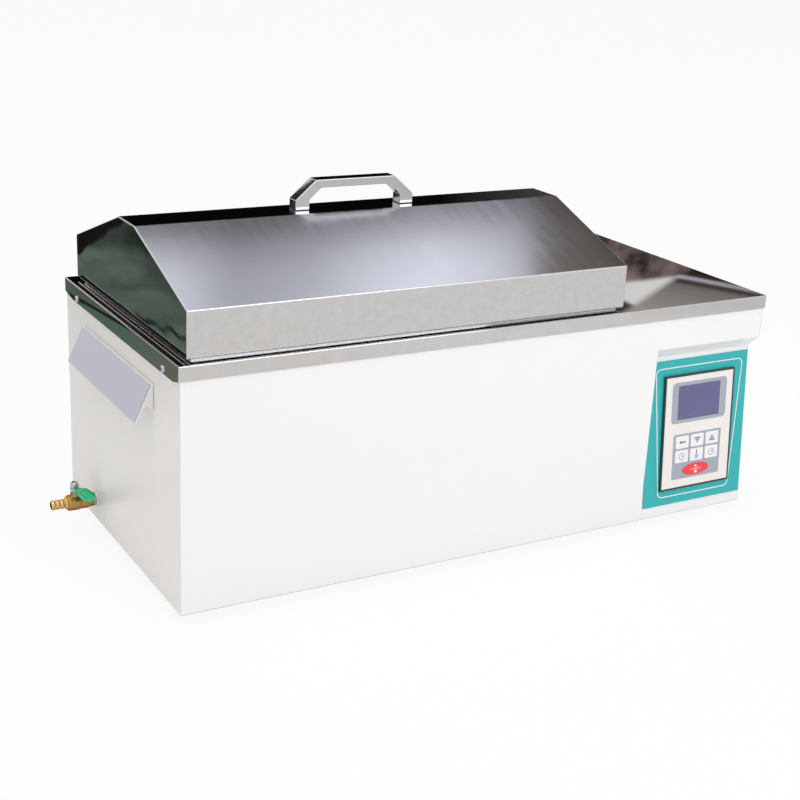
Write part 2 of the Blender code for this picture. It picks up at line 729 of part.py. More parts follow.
def build_tank():
    outside = SHEET
    tank = block(
        "tank",
        (TANK_LEFT - outside, TANK_FRONT - outside, TANK_FLOOR - outside),
        (TANK_RIGHT + outside, TANK_REAR + outside, TANK_TOP),
        "steel",
    )
    rim_out = SHEET + TANK_RIM
    rim = block(
        "tank_rim",
        (TANK_LEFT - rim_out, TANK_FRONT - rim_out, TANK_TOP - SHEET),
        (TANK_RIGHT + rim_out, TANK_REAR + rim_out, TANK_TOP),
    )
    hollow = block(
        "tank_hollow", (TANK_LEFT, TANK_FRONT, TANK_FLOOR), (TANK_RIGHT, TANK_REAR, TANK_TOP + MARGIN)
    )
    join(tank, rim)
    cut(tank, hollow)
    cut(tank, arm_slot("tank_arm_slot"), drain_drop("tank_drain_hole"))
    cut(tank, wall_hole("tank_probe_hole", PROBE_RADIUS + FIT, LID_MIDDLE_Y, TANK_FLOOR + PROBE_HEIGHT))
    for row, y in heater_ends().items():
        hole = wall_hole(f"tank_heater_hole_{row}", HEATER_RADIUS + FIT, y, TANK_FLOOR + HEATER_HEIGHT)
        cut(tank, hole)


def build_jacket():
    gap = SHEET + FIT
    outer = gap + JACKET
    top = CASE_TOP
    jacket = block(
        "insulation_jacket",
        (TANK_LEFT - outer, TANK_FRONT - outer, TANK_FLOOR - outer),
        (TANK_RIGHT + outer, TANK_REAR + outer, top),
        "glass_wool",
    )
    hollow = block(
        "jacket_hollow",
        (TANK_LEFT - gap, TANK_FRONT - gap, TANK_FLOOR - gap),
        (TANK_RIGHT + gap, TANK_REAR + gap, top + MARGIN),
    )
    cut(jacket, hollow, arm_slot("jacket_arm_slot"), drain_drop("jacket_drain_hole"))
    collar_hole = PROBE_COLLAR + FIT
    cut(jacket, wall_hole("jacket_probe_hole", collar_hole, LID_MIDDLE_Y, TANK_FLOOR + PROBE_HEIGHT))
    for row, y in heater_ends().items():
        hole = wall_hole(f"jacket_heater_hole_{row}", GLAND_RADIUS + FIT, y, TANK_FLOOR + HEATER_HEIGHT)
        cut(jacket, hole)


def wall_hole(name, radius, y, z):
    """A round cutter through the tank's right wall and whatever wraps it."""
    start = (TANK_RIGHT - MARGIN, y, z)
    return rod(name, radius, start, (TANK_RIGHT + JACKET + 2 * MARGIN, y, z))


def arm_slot(name):
    """The slot that the drive arm reaches through, above the water line."""
    half_y = ARM_WIDTH / 2 + ARM_CLEARANCE
    half_z = ARM_HEIGHT / 2 + ARM_CLEARANCE
    return block(
        name,
        (TANK_RIGHT - MARGIN, LID_MIDDLE_Y - half_y, RAIL_Z - half_z),
        (TANK_RIGHT + JACKET + 2 * MARGIN, LID_MIDDLE_Y + half_y, RAIL_Z + half_z),
    )


def drain_drop(name):
    """A round cutter down through the tank floor where the drain pipe starts."""
    x = TANK_LEFT + DRAIN_FROM_TANK_END
    top = (x, VALVE_Y, TANK_FLOOR + MARGIN)
    return rod(name, DRAIN_RADIUS + FIT, top, (x, VALVE_Y, TANK_FLOOR - JACKET - 2 * MARGIN))


def lid_profile(inset):
    """The lid's end view, (y, z) from its middle and bottom, shrunk by a wall."""
    half = LID_DEPTH / 2 - inset
    ridge = LID_RIDGE / 2
    pitch = atan2(LID_RISE, LID_DEPTH / 2 - ridge)
    skirt = LID_SKIRT - inset * tan(pitch / 2)
    ridge_in = ridge - inset * tan(pitch / 2)
    top = LID_SKIRT + LID_RISE - inset
    return [(-half, 0.0), (half, 0.0), (half, skirt), (ridge_in, top), (-ridge_in, top), (-half, skirt)]


def build_lid():
    lid = prism("lid_shell", lid_profile(0.0), LID_LENGTH, "x", "steel", parent=LID)
    hollow = prism("lid_hollow", lid_profile(SHEET), LID_LENGTH - 2 * SHEET, "x", at=(0, 0, 0), parent=LID)
    hem_plate = block(
        "lid_hem_plate",
        (-LID_LENGTH / 2 - MARGIN, -LID_DEPTH / 2 - MARGIN, -MARGIN),
        (LID_LENGTH / 2 + MARGIN, LID_DEPTH / 2 + MARGIN, SHEET),
        None,
        LID,
    )
    mouth = block(
        "lid_mouth",
        (-LID_LENGTH / 2 + LID_HEM, -LID_DEPTH / 2 + LID_HEM, -MARGIN),
        (LID_LENGTH / 2 - LID_HEM, LID_DEPTH / 2 - LID_HEM, LID_SKIRT / 2),
        None,
        LID,
    )
    cut(hollow, hem_plate)
    cut(lid, hollow, mouth)
    build_lid_handle(lid)


def build_lid_handle(lid):
    ridge = LID_SKIRT + LID_RISE
    half = LID_HANDLE_LENGTH / 2
    inner = half - LID_HANDLE_LEG
    shoulder = LID_HANDLE_SHOULDER
    corner = LID_HANDLE_CORNER
    under = LID_HANDLE_HEIGHT - LID_HANDLE_BAR
    inner_corner = inner - (under - shoulder) * corner / (LID_HANDLE_HEIGHT - shoulder)
    outer_side = [(half, 0.0), (half, shoulder), (half - corner, LID_HANDLE_HEIGHT)]
    inner_side = [(inner_corner, under), (inner, shoulder), (inner, 0.0)]
    right = outer_side + [(-x, z) for x, z in reversed(outer_side)]
    left = [(-x, z) for x, z in reversed(inner_side)] + inner_side
    seat = (0.0, 0.0, ridge + FIT)
    handle = prism("lid_handle", right + left, LID_HANDLE_DEPTH, "y", "chrome", seat, LID)
    for side, sign in (("left", -1), ("right", 1)):
        x = sign * (half - LID_HANDLE_LEG / 2)
        bore_top = (x, 0.0, ridge + LID_SCREW_LENGTH + FIT)
        bore_low = (x, 0.0, ridge - MARGIN)
        bore = rod(f"lid_screw_hole_{side}", LID_SCREW_SHANK + FIT, bore_low, bore_top, None, LID)
        cut(lid, bore)
        cut(handle, bore)
        under_ridge = -SHEET - FIT
        profile = [
            (0.0, LID_SCREW_LENGTH),
            (LID_SCREW_SHANK, LID_SCREW_LENGTH),
            (LID_SCREW_SHANK, under_ridge),
            (LID_SCREW_HEAD, under_ridge),
            (LID_SCREW_HEAD, under_ridge - LID_SCREW_HEAD_HEIGHT),
            (0.0, under_ridge - LID_SCREW_HEAD_HEIGHT),
        ]
        turned(f"lid_handle_screw_{side}", profile, "chrome", (x, 0.0, ridge), LID, steps=14)


def build_grips():
    """Carrying handles: a prism with a slanted face plate and a finger groove below."""
    top = Vector((GRIP_TOP_REACH, GRIP_TOP))
    lip = Vector((GRIP_LIP_REACH, GRIP_LIP_HEIGHT))
    slant = (lip - top).normalized()
    outwards = Vector((-slant.y, slant.x))
    sunk = -(GRIP_FACE + FIT) * outwards
    lip_inside = lip + sunk - GRIP_LIP * outwards
    heel = Vector((GRIP_LIP, GRIP_HEEL))
    groove = []
    for step in range(1, GRIP_GROOVE_STEPS):
        share = step / GRIP_GROOVE_STEPS
        straight = lip_inside.lerp(heel, share)
        groove.append(straight + Vector((0.0, GRIP_GROOVE_RISE * sin(pi * share))))
    body = [Vector((0.0, GRIP_TOP)), top + sunk, lip + sunk, lip_inside, *groove, heel]
    body.append(Vector((0.0, GRIP_HEEL)))
    plate = [top, lip, lip - GRIP_FACE * outwards, top - GRIP_FACE * outwards]
    middle_y = CASE_FRONT + GRIP_FRONT + GRIP_LENGTH / 2
    for side, sign, wall in (("left", -1, CASE_LEFT - FIT), ("right", 1, CASE_RIGHT + FIT)):
        at = (wall, middle_y, CASE_BOTTOM)
        body_outline = [(sign * point.x, point.y) for point in body]
        plate_outline = [(sign * point.x, point.y) for point in plate]
        prism(f"handle_grip_{side}", body_outline, GRIP_LENGTH, "y", "white_enamel", at)
        prism(f"handle_face_{side}", plate_outline, GRIP_LENGTH - 2 * GRIP_CHEEK, "y", "grip_grey", at)


def panel_block(name, width, height, middle, low, high, finish=None, middle_x=0.0):
    """A box on the sloped panel: width along it, height up it, low and high out from its face."""
    corner = (middle_x - width / 2, middle - height / 2, low)
    return block(name, corner, (middle_x + width / 2, middle + height / 2, high), finish, PANEL)


def controller_window(name):
    """The opening in the panel that the controller's box passes through."""
    return panel_block(name, BOX_WIDTH + 2 * FIT, BOX_HEIGHT + 2 * FIT, PANEL_MIDDLE, -MARGIN, MARGIN)


def oval(width, height):
    return [(x * width / 2, y * height / 2) for x, y in circle(1.0, sides=24)]


def key_places():
    """Names and (x, up) places of the six square keys."""
    names = (("left", "down", "up"), ("timer", "temperature", "speed"))
    places = {}
    for row, row_names in enumerate(names):
        for column, name in enumerate(row_names):
            up = KEY_LOWER_ROW + (1 - row) * KEY_PITCH_Y
            places[f"key_{name}"] = ((column - 1) * KEY_PITCH_X, up)
    return places


def build_control_panel():
    panel = panel_block(
        "control_panel", PANEL_WIDTH, PANEL_HEIGHT, PANEL_MIDDLE, FIT, FIT + PANEL_SHEET, "teal"
    )
    cut(panel, controller_window("panel_window"))
    bezel = panel_block(
        "controller_bezel", BEZEL_WIDTH, BEZEL_HEIGHT, PANEL_MIDDLE, BEZEL_BACK, BEZEL_FRONT, "black_plastic"
    )
    box_front = BEZEL_BACK + BEZEL_SHELF / 2
    box = panel_block("bezel_box", BOX_WIDTH, BOX_HEIGHT, PANEL_MIDDLE, -BEZEL_BOX_DEPTH, box_front)
    inner_width = BOX_WIDTH - 2 * BEZEL_BOX_WALL
    inner_height = BOX_HEIGHT - 2 * BEZEL_BOX_WALL
    rear = -BEZEL_BOX_DEPTH - MARGIN
    bore = panel_block("bezel_bore", inner_width, inner_height, PANEL_MIDDLE, rear, BEZEL_FRONT + MARGIN)
    pocket_width = BEZEL_WIDTH - 2 * BEZEL_RIM
    pocket_height = BEZEL_HEIGHT - 2 * BEZEL_RIM
    shelf = BEZEL_BACK + BEZEL_SHELF
    front = BEZEL_FRONT + MARGIN
    pocket = panel_block("bezel_pocket", pocket_width, pocket_height, PANEL_MIDDLE, shelf, front)
    join(bezel, box)
    cut(bezel, bore, pocket)
    board_top = -BOARD_DROP
    board_width = inner_width - 2 * FIT
    board_height = inner_height - 2 * FIT
    board_back = board_top - BOARD_SHEET
    panel_block(
        "control_board", board_width, board_height, PANEL_MIDDLE, board_back, board_top, "board_green"
    )
    face_width = pocket_width - 2 * FIT
    face_height = pocket_height - 2 * FIT
    face = panel_block(
        "controller_face", face_width, face_height, PANEL_MIDDLE, FACE_BACK, FACE_FRONT, "cream_plastic"
    )
    display_hole = panel_block(
        "display_hole", DISPLAY_WIDTH, DISPLAY_HEIGHT, DISPLAY_MIDDLE, FACE_BACK - MARGIN, front
    )
    cut(face, display_hole)
    panel_block(
        "display_window",
        DISPLAY_WIDTH - 2 * FIT,
        DISPLAY_HEIGHT - 2 * FIT,
        DISPLAY_MIDDLE,
        board_top + FIT,
        FACE_FRONT - DISPLAY_SINK,
        "display_glass",
    )
    build_keys(face)


def build_keys(face):
    top = FACE_FRONT + KEY_PROUD
    for name, (x, up) in key_places().items():
        hole = panel_block(
            f"{name}_hole", KEY_WIDTH + 2 * FIT, KEY_HEIGHT + 2 * FIT, up, FACE_BACK - MARGIN, top, None, x
        )
        cut(face, hole)
        panel_block(name, KEY_WIDTH, KEY_HEIGHT, up, top - KEY_DEPTH, top, "white_key", x)
    middle = (0.0, RUN_KEY_MIDDLE, top - KEY_DEPTH / 2)
    run_hole = oval(RUN_KEY_WIDTH + 2 * FIT, RUN_KEY_HEIGHT + 2 * FIT)
    cut(face, prism("run_stop_hole", run_hole, KEY_DEPTH + MARGIN, "z", None, middle, PANEL))
    prism("key_run_stop", oval(RUN_KEY_WIDTH, RUN_KEY_HEIGHT), KEY_DEPTH, "z", "red_key", middle, PANEL)


def drain_route(spare):
    """Down out of the tank floor, round a bend and out through the left wall."""
    x = TANK_LEFT + DRAIN_FROM_TANK_END
    route = [(x, VALVE_Y, TANK_FLOOR + spare)]
    for step in range(DRAIN_BEND_STEPS + 1):
        turn = pi / 2 * step / DRAIN_BEND_STEPS
        away = DRAIN_BEND * (1 - cos(turn))
        rise = DRAIN_BEND * (1 - sin(turn))
        route.append((x - away, VALVE_Y, VALVE_Z + rise))
    route.append((CASE_LEFT - VALVE_START + FIT - spare, VALVE_Y, VALVE_Z))
    return route


def build_drain_cock():
    pipe = tube("drain_pipe", drain_route(0.0), DRAIN_RADIUS, "steel")
    cut(pipe, tube("drain_pipe_bore", drain_route(MARGIN), DRAIN_BORE))
    wall_point = (CASE_LEFT, VALVE_Y, VALVE_Z)
    outwards = (-1, 0, 0)
    split = VALVE_END - VALVE_OUTER_LENGTH
    neck_end = VALVE_START + VALVE_NECK_LENGTH
    body_profile = [
        (0.0, VALVE_END),
        (VALVE_RADIUS - VALVE_CHAMFER, VALVE_END),
        (VALVE_RADIUS, VALVE_END - VALVE_CHAMFER),
        (VALVE_RADIUS, split + VALVE_GROOVE),
        (VALVE_INNER_RADIUS - VALVE_GROOVE, split),
        (VALVE_INNER_RADIUS, split - VALVE_GROOVE),
        (VALVE_INNER_RADIUS, neck_end),
        (VALVE_NECK, neck_end),
        (VALVE_NECK, VALVE_START),
        (0.0, VALVE_START),
    ]
    body = turned("valve_body", body_profile, "brass", wall_point, ROOT, outwards, 24)
    centre = Vector((VALVE_X, VALVE_Y, VALVE_Z))
    up = Vector((0.0, 0.0, 1.0))
    join(body, rod("valve_bonnet", BONNET_RADIUS, centre, (VALVE_X, VALVE_Y, BONNET_Z)))
    bore_start = (CASE_LEFT + MARGIN, VALVE_Y, VALVE_Z)
    bore_end = (CASE_LEFT - BARB_REACH - MARGIN, VALVE_Y, VALVE_Z)
    flow = rod("valve_flow_bore", VALVE_BORE, bore_start, bore_end, sides=16)
    socket = ball("ball_socket", BALL_RADIUS + FIT, centre)
    stem_hole = rod("stem_hole", STEM_RADIUS + FIT, centre, centre + up * (BONNET_TOP + MARGIN), sides=16)
    cut(body, flow, socket, stem_hole)

    seat = BALL_RADIUS - BALL_SEAT
    valve_ball = ball("valve_ball", BALL_RADIUS, (0.0, 0.0, 0.0), "steel", LEVER)
    across = Vector((0.0, BALL_RADIUS + MARGIN, 0.0))
    cut(valve_ball, rod("ball_bore", VALVE_BORE, centre - across, centre + across, sides=16))
    ball_seat = rod("ball_seat", STEM_RADIUS + FIT, centre + up * seat, centre + up * MARGIN, sides=16)
    cut(valve_ball, ball_seat)
    stem_top = LEVER_NUT_Z + LEVER_NUT_HEIGHT - VALVE_Z
    rod("valve_stem", STEM_RADIUS, up * (seat + FIT), up * stem_top, "steel", LEVER, 12)
    stem_eye = circle(STEM_RADIUS + FIT)
    nut_z = BONNET_Z + FIT + PACKING_NUT_HEIGHT / 2
    packing_hex = circle(BONNET_RADIUS, sides=6)
    packing_at = (VALVE_X, VALVE_Y, nut_z)
    prism("packing_nut", packing_hex, PACKING_NUT_HEIGHT, "z", "chrome", packing_at, holes=[stem_eye])
    build_lever_nut(stem_top)
    build_lever()
    build_hose_barb(wall_point, outwards, flow)


def arc(middle, radius, start, end, steps):
    """Points on a flat arc from one angle to another."""
    turns = [start + (end - start) * step / steps for step in range(steps + 1)]
    return [(middle[0] + radius * cos(turn), middle[1] + radius * sin(turn)) for turn in turns]


def build_lever_nut(stem_top):
    """A cap nut: a hexagon with a dome on it, which closes over the end of the stem."""
    base = LEVER_NUT_Z - VALVE_Z
    nut_at = (0.0, 0.0, base + LEVER_NUT_HEIGHT / 2)
    nut = prism("lever_nut", circle(LEVER_NUT_RADIUS, sides=6), LEVER_NUT_HEIGHT, "z", "steel", nut_at, LEVER)
    turns = [pi / 2 * step / LEVER_CAP_STEPS for step in range(LEVER_CAP_STEPS + 1)]
    dome = [(LEVER_CAP_RADIUS * sin(turn), LEVER_CAP_HEIGHT * cos(turn)) for turn in turns]
    dome += [(LEVER_CAP_RADIUS, -LEVER_NUT_HEIGHT / 2), (0.0, -LEVER_NUT_HEIGHT / 2)]
    join(nut, turned("lever_cap", dome, None, (0.0, 0.0, base + LEVER_NUT_HEIGHT), LEVER))
    eye_start = (0.0, 0.0, base - MARGIN)
    eye_end = (0.0, 0.0, stem_top + FIT)
    cut(nut, rod("lever_nut_eye", STEM_RADIUS + FIT, eye_start, eye_end, None, LEVER, 16))


def build_lever():
    """A plate that widens from its root to a blade with round corners, bent down past its nut."""
    half = LEVER_WIDTH / 2
    top = LEVER_Z + LEVER_SHEET - VALVE_Z
    slope = LEVER_FALL / (LEVER_LENGTH - LEVER_BEND)
    lag = LEVER_SHEET * tan(atan2(slope, 1.0) / 2)
    beyond = LEVER_LENGTH + LEVER_WIDTH
    upper = [(-LEVER_WIDTH, 0.0), (LEVER_BEND, 0.0), (beyond, slope * (LEVER_BEND - beyond))]
    lower = [(x - lag, z - LEVER_SHEET) for x, z in reversed(upper)]
    lever = prism("valve_lever", upper + lower, 2 * LEVER_WIDTH, "y", "green_dip", (0, 0, top), LEVER)
    far = LEVER_LENGTH - LEVER_CORNER
    out = half - LEVER_CORNER
    near_side = arc((far, -out), LEVER_CORNER, -pi / 2, 0.0, LEVER_END_STEPS)
    far_side = arc((far, out), LEVER_CORNER, 0.0, pi / 2, LEVER_END_STEPS)
    root = arc((0.0, 0.0), LEVER_ROOT, 3 * pi / 4, 5 * pi / 4, LEVER_END_STEPS)
    outline = [(LEVER_BEND, -half)] + near_side + far_side + [(LEVER_BEND, half)] + root
    plan_depth = 4 * (LEVER_FALL + LEVER_SHEET)
    plan = prism("lever_plan", outline, plan_depth, "z", None, (0, 0, top), LEVER)
    combine(lever, "INTERSECT", plan)
    eye_start = (0.0, 0.0, top - MARGIN)
    cut(lever, rod("lever_eye", STEM_RADIUS + FIT, eye_start, (0, 0, top + MARGIN), None, LEVER, 16))


def build_hose_barb(at, outwards, flow):
    start = VALVE_END + FIT
    profile = [(0.0, BARB_REACH)]
    for ridge in range(BARB_RIDGES):
        tip = BARB_REACH - ridge * BARB_RIDGE
        profile.append((BARB_NECK, tip))
        profile.append((BARB_RADIUS, tip - BARB_RIDGE * BARB_SHARPNESS))
    profile.append((BARB_NECK, BARB_REACH - BARB_RIDGES * BARB_RIDGE))
    profile.append((BARB_NECK, start + BARB_COLLAR_LENGTH))
    profile.append((BARB_COLLAR, start + BARB_COLLAR_LENGTH))
    profile.append((BARB_COLLAR, start))
    profile.append((0.0, start))
    barb = turned("hose_barb", profile, "brass", at, ROOT, outwards, 16)
    cut(barb, flow)


def heater_ends():
    """Where the heater's two tails pass the right wall, from front to rear."""
    reach = (HEATER_PASSES - 1) * HEATER_PITCH / 2
    return {"front": LID_MIDDLE_Y - reach, "rear": LID_MIDDLE_Y + reach}


def heater_route():
    """Straight passes joined by half turns, all at one height above the tank floor."""
    bend = HEATER_PITCH / 2
    z = TANK_FLOOR + HEATER_HEIGHT
    outside = TANK_RIGHT + SHEET + FIT + GLAND_LENGTH + HEATER_TAIL
    left = TANK_LEFT + HEATER_END_ROOM + bend
    right = TANK_RIGHT - HEATER_END_ROOM - bend
    first = heater_ends()["front"]
    route = [(outside, first, z)]
    for passing in range(HEATER_PASSES - 1):
        goes_left = passing % 2 == 0
        turn_x = left if goes_left else right
        sign = -1 if goes_left else 1
        middle = first + passing * HEATER_PITCH + bend
        for step in range(HEATER_BEND_STEPS + 1):
            turn = pi * step / HEATER_BEND_STEPS
            route.append((turn_x + sign * bend * sin(turn), middle - bend * cos(turn), z))
    route.append((outside, heater_ends()["rear"], z))
    return route


def build_heating():
    tube("heater_element", heater_route(), HEATER_RADIUS, "steel")
    outside = TANK_RIGHT + SHEET + FIT
    for row, y in heater_ends().items():
        at = (outside + GLAND_LENGTH / 2, y, TANK_FLOOR + HEATER_HEIGHT)
        eye = circle(HEATER_RADIUS + FIT)
        prism(f"heater_gland_{row}", circle(GLAND_RADIUS), GLAND_LENGTH, "x", "brass", at, holes=[eye])
    probe_profile = [
        (0.0, PROBE_COLLAR_LENGTH),
        (PROBE_COLLAR, PROBE_COLLAR_LENGTH),
        (PROBE_COLLAR, 0.0),
        (PROBE_RADIUS, 0.0),
        (PROBE_RADIUS, -SHEET - FIT - PROBE_REACH),
        (0.0, -SHEET - FIT - PROBE_REACH),
    ]
    probe_at = (outside, LID_MIDDLE_Y, TANK_FLOOR + PROBE_HEIGHT)
    turned("temperature_probe", probe_profile, "steel", probe_at, ROOT, (1, 0, 0), 12)

    half = HEATER_COVER_WIDTH / 2
    top = HEATER_COVER_HEIGHT
    outline = [(-half, FIT), (-half, top), (half, top), (half, FIT)]
    outline += [(half - SHEET, FIT), (half - SHEET, top - SHEET)]
    outline += [(SHEET - half, top - SHEET), (SHEET - half, FIT)]
    floor = (LID_MIDDLE_X, LID_MIDDLE_Y, TANK_FLOOR)
    cover = prism("heater_cover", outline, HEATER_COVER_LENGTH, "x", "steel", floor)
    reach = Vector((HEATER_COVER_LENGTH / 2 - MARGIN, half - MARGIN))
    columns, rows = HEATER_COVER_COLUMNS, HEATER_COVER_ROWS
    holes = hole_grid("cover_holes", HEATER_COVER_HOLE, -reach, reach, columns, rows, 2 * MARGIN)
    cut(cover, place("cover_holes", holes, None, Vector(floor) + Vector((0.0, 0.0, top))))


def build_shaker():
    for row, sign in (("front", -1), ("rear", 1)):
        y = LID_MIDDLE_Y + sign * RAIL_Y
        start = (TANK_LEFT + FIT, y, RAIL_Z)
        rod(f"guide_rail_{row}", RAIL_RADIUS, start, (TANK_RIGHT - FIT, y, RAIL_Z), "chrome", sides=16)
    build_carriage()
    build_tray()
    build_drive_arm()


def build_carriage():
    half_y = RAIL_Y + BEAM_END
    half_z = BEAM_HEIGHT / 2
    outline = [(-half_y, -half_z), (half_y, -half_z), (half_y, half_z), (-half_y, half_z)]
    eyes = [circle(RAIL_RADIUS + FIT, (sign * RAIL_Y, 0.0)) for sign in (-1, 1)]
    right_at = (BEAM_X, 0.0, 0.0)
    left_at = (-BEAM_X, 0.0, 0.0)
    carriage = prism("shaker_carriage", outline, BEAM_THICKNESS, "x", "steel", left_at, SHAKER, eyes)
    join(carriage, prism("right_beam", outline, BEAM_THICKNESS, "x", None, right_at, SHAKER, eyes))
    for row, sign in (("front", -1), ("rear", 1)):
        y = sign * (RAIL_Y - RAIL_RADIUS - 2 * SIDE_BAR)
        low = (-BEAM_X, y - SIDE_BAR / 2, -SIDE_BAR)
        join(carriage, block(f"side_bar_{row}", low, (BEAM_X, y + SIDE_BAR / 2, SIDE_BAR), None, SHAKER))


def build_tray():
    half_x = TRAY_LENGTH / 2
    half_y = TRAY_WIDTH / 2
    floor = TRAY_Z - RAIL_Z
    tray = block(
        "flask_tray", (-half_x, -half_y, floor), (half_x, half_y, floor + TRAY_RIM), "steel", SHAKER
    )
    wall = Vector((TRAY_SHEET, TRAY_SHEET))
    reach = Vector((half_x, half_y)) - wall
    hollow_top = floor + TRAY_RIM + MARGIN
    hollow = block("tray_hollow", (*-reach, floor + TRAY_SHEET), (*reach, hollow_top), None, SHAKER)
    field = Vector((BEAM_X - BEAM_THICKNESS, half_y - MARGIN))
    holes = hole_grid("tray_holes", TRAY_HOLE, -field, field, TRAY_COLUMNS, TRAY_ROWS, 2 * MARGIN)
    cut(tray, hollow, place("tray_holes", holes, None, (0.0, 0.0, floor), SHAKER))
    near = BEAM_X + BEAM_THICKNESS / 2 + FIT
    far = near + STRAP_SHEET
    strap_y = half_y - STRAP_WIDTH / 2 - MARGIN
    for end, x_low, x_high in (("left", -far, -near), ("right", near, far)):
        for row, y in (("front", -strap_y), ("rear", strap_y)):
            low = (x_low, y - STRAP_WIDTH / 2, floor)
            high = (x_high, y + STRAP_WIDTH / 2, BEAM_HEIGHT / 2)
            join(tray, block(f"tray_strap_{row}_{end}", low, high, None, SHAKER))


def build_drive_arm():
    """An arm from the carriage through the tank wall, ending in a slotted yoke over the crank."""
    start = BEAM_X + BEAM_THICKNESS / 2 + FIT
    middle = CRANK_X - LID_MIDDLE_X
    near = middle - YOKE_LENGTH / 2
    far = middle + YOKE_LENGTH / 2
    half = ARM_WIDTH / 2
    wide = YOKE_WIDTH / 2
    outline = [(start, -half), (near, -half), (near, -wide), (far, -wide)]
    outline += [(x, -y) for x, y in reversed(outline)]
    slot_half = wide - YOKE_END
    slot = [
        (middle - YOKE_SLOT / 2, -slot_half),
        (middle + YOKE_SLOT / 2, -slot_half),
        (middle + YOKE_SLOT / 2, slot_half),
        (middle - YOKE_SLOT / 2, slot_half),
    ]
    arm = prism("drive_arm", outline, ARM_HEIGHT, "z", "aluminium", (0, 0, 0), SHAKER, [slot])
    foot_low = (start, -ARM_FOOT / 2, -BEAM_HEIGHT / 2)
    foot_high = (start + ARM_HEIGHT, ARM_FOOT / 2, BEAM_HEIGHT / 2)
    join(arm, block("arm_foot", foot_low, foot_high, None, SHAKER))


def build_drive():
    disc = rod("crank_disc", CRANK_RADIUS, (0, 0, 0), (0, 0, CRANK_SHEET), "steel", CRANK, 24)
    pin_low = (0.0, SHAKE_STROKE, CRANK_SHEET / 2)
    pin_high = (0.0, SHAKE_STROKE, CRANK_SHEET + CRANK_PIN_HEIGHT)
    join(disc, rod("crank_pin", CRANK_PIN, pin_low, pin_high, None, CRANK, 16))
    shaft_low = (0.0, 0.0, -SHAFT_LENGTH)
    shaft_high = (0.0, 0.0, CRANK_SHEET / 2)
    join(disc, rod("crank_shaft", SHAFT_RADIUS, shaft_low, shaft_high, None, CRANK, 16))

    x, y = CRANK_X, LID_MIDDLE_Y
    half = GEARBOX / 2
    gearbox_floor = GEARBOX_TOP - GEARBOX_HEIGHT
    motor = block(
        "drive_motor", (x - half, y - half, gearbox_floor), (x + half, y + half, GEARBOX_TOP), "motor_grey"
    )
    can_top = (x, y, gearbox_floor + MARGIN)
    join(motor, rod("motor_can", MOTOR_RADIUS, (x, y, gearbox_floor - MOTOR_HEIGHT), can_top, sides=28))
    bore_bottom = (x, y, CRANK_BOTTOM - SHAFT_LENGTH - FIT)
    cut(motor, rod("motor_bore", SHAFT_RADIUS + FIT, bore_bottom, (x, y, CRANK_BOTTOM)))

    side = BRACKET_WIDTH / 2
    thick = BRACKET_SHEET
    toe = side + BRACKET_FOOT
    bottom = BASE_TOP + FIT
    right = [(side - thick, bottom), (toe, bottom), (toe, bottom + thick), (side, bottom + thick)]
    right.append((side, BRACKET_TOP))
    left = [(-u, v) for u, v in reversed(right)]
    inside = [(-side + thick, BRACKET_TOP - thick), (side - thick, BRACKET_TOP - thick)]
    bracket = prism("motor_bracket", right + left + inside, BRACKET_DEPTH, "y", "aluminium", (x, y, 0.0))
    shaft_clear = SHAFT_RADIUS + 2 * BRACKET_SHEET
    hole_low = (x, y, BRACKET_TOP - MARGIN)
    cut(bracket, rod("bracket_hole", shaft_clear, hole_low, (x, y, BRACKET_TOP + MARGIN)))


def rear_block(name, width, height, z, low, high, finish=None):
    """A box at the mains inlet's place: low and high are measured out from the rear panel's face."""
    corner = (INLET_X - width / 2, REAR_PANEL_OUTSIDE + low, z - height / 2)
    return block(name, corner, (INLET_X + width / 2, REAR_PANEL_OUTSIDE + high, z + height / 2), finish)


def build_rear_panel():
    panel = block(
        "rear_panel",
        (CASE_LEFT + SHEET + FIT, REAR_PANEL_OUTSIDE - SHEET, BASE_BOTTOM),
        (CASE_RIGHT - SHEET - FIT, REAR_PANEL_OUTSIDE, CASE_TOP),
        "white_enamel",
    )
    windows = (
        ("inlet_window", INLET_WIDTH, INLET_HEIGHT, INLET_Z),
        ("switch_window", SWITCH_WIDTH, SWITCH_HEIGHT, SWITCH_Z),
    )
    for name, width, height, z in windows:
        cut(panel, rear_block(name, width + 2 * FIT, height + 2 * FIT, z, -MARGIN, MARGIN))
    for vent in range(VENT_COUNT):
        x = CRANK_X + (vent - (VENT_COUNT - 1) / 2) * VENT_PITCH
        low = (x - VENT_WIDTH / 2, REAR_PANEL_OUTSIDE - MARGIN, VENT_BOTTOM)
        high = (x + VENT_WIDTH / 2, REAR_PANEL_OUTSIDE + MARGIN, VENT_BOTTOM + VENT_HEIGHT)
        cut(panel, block(f"vent_{vent}", low, high))


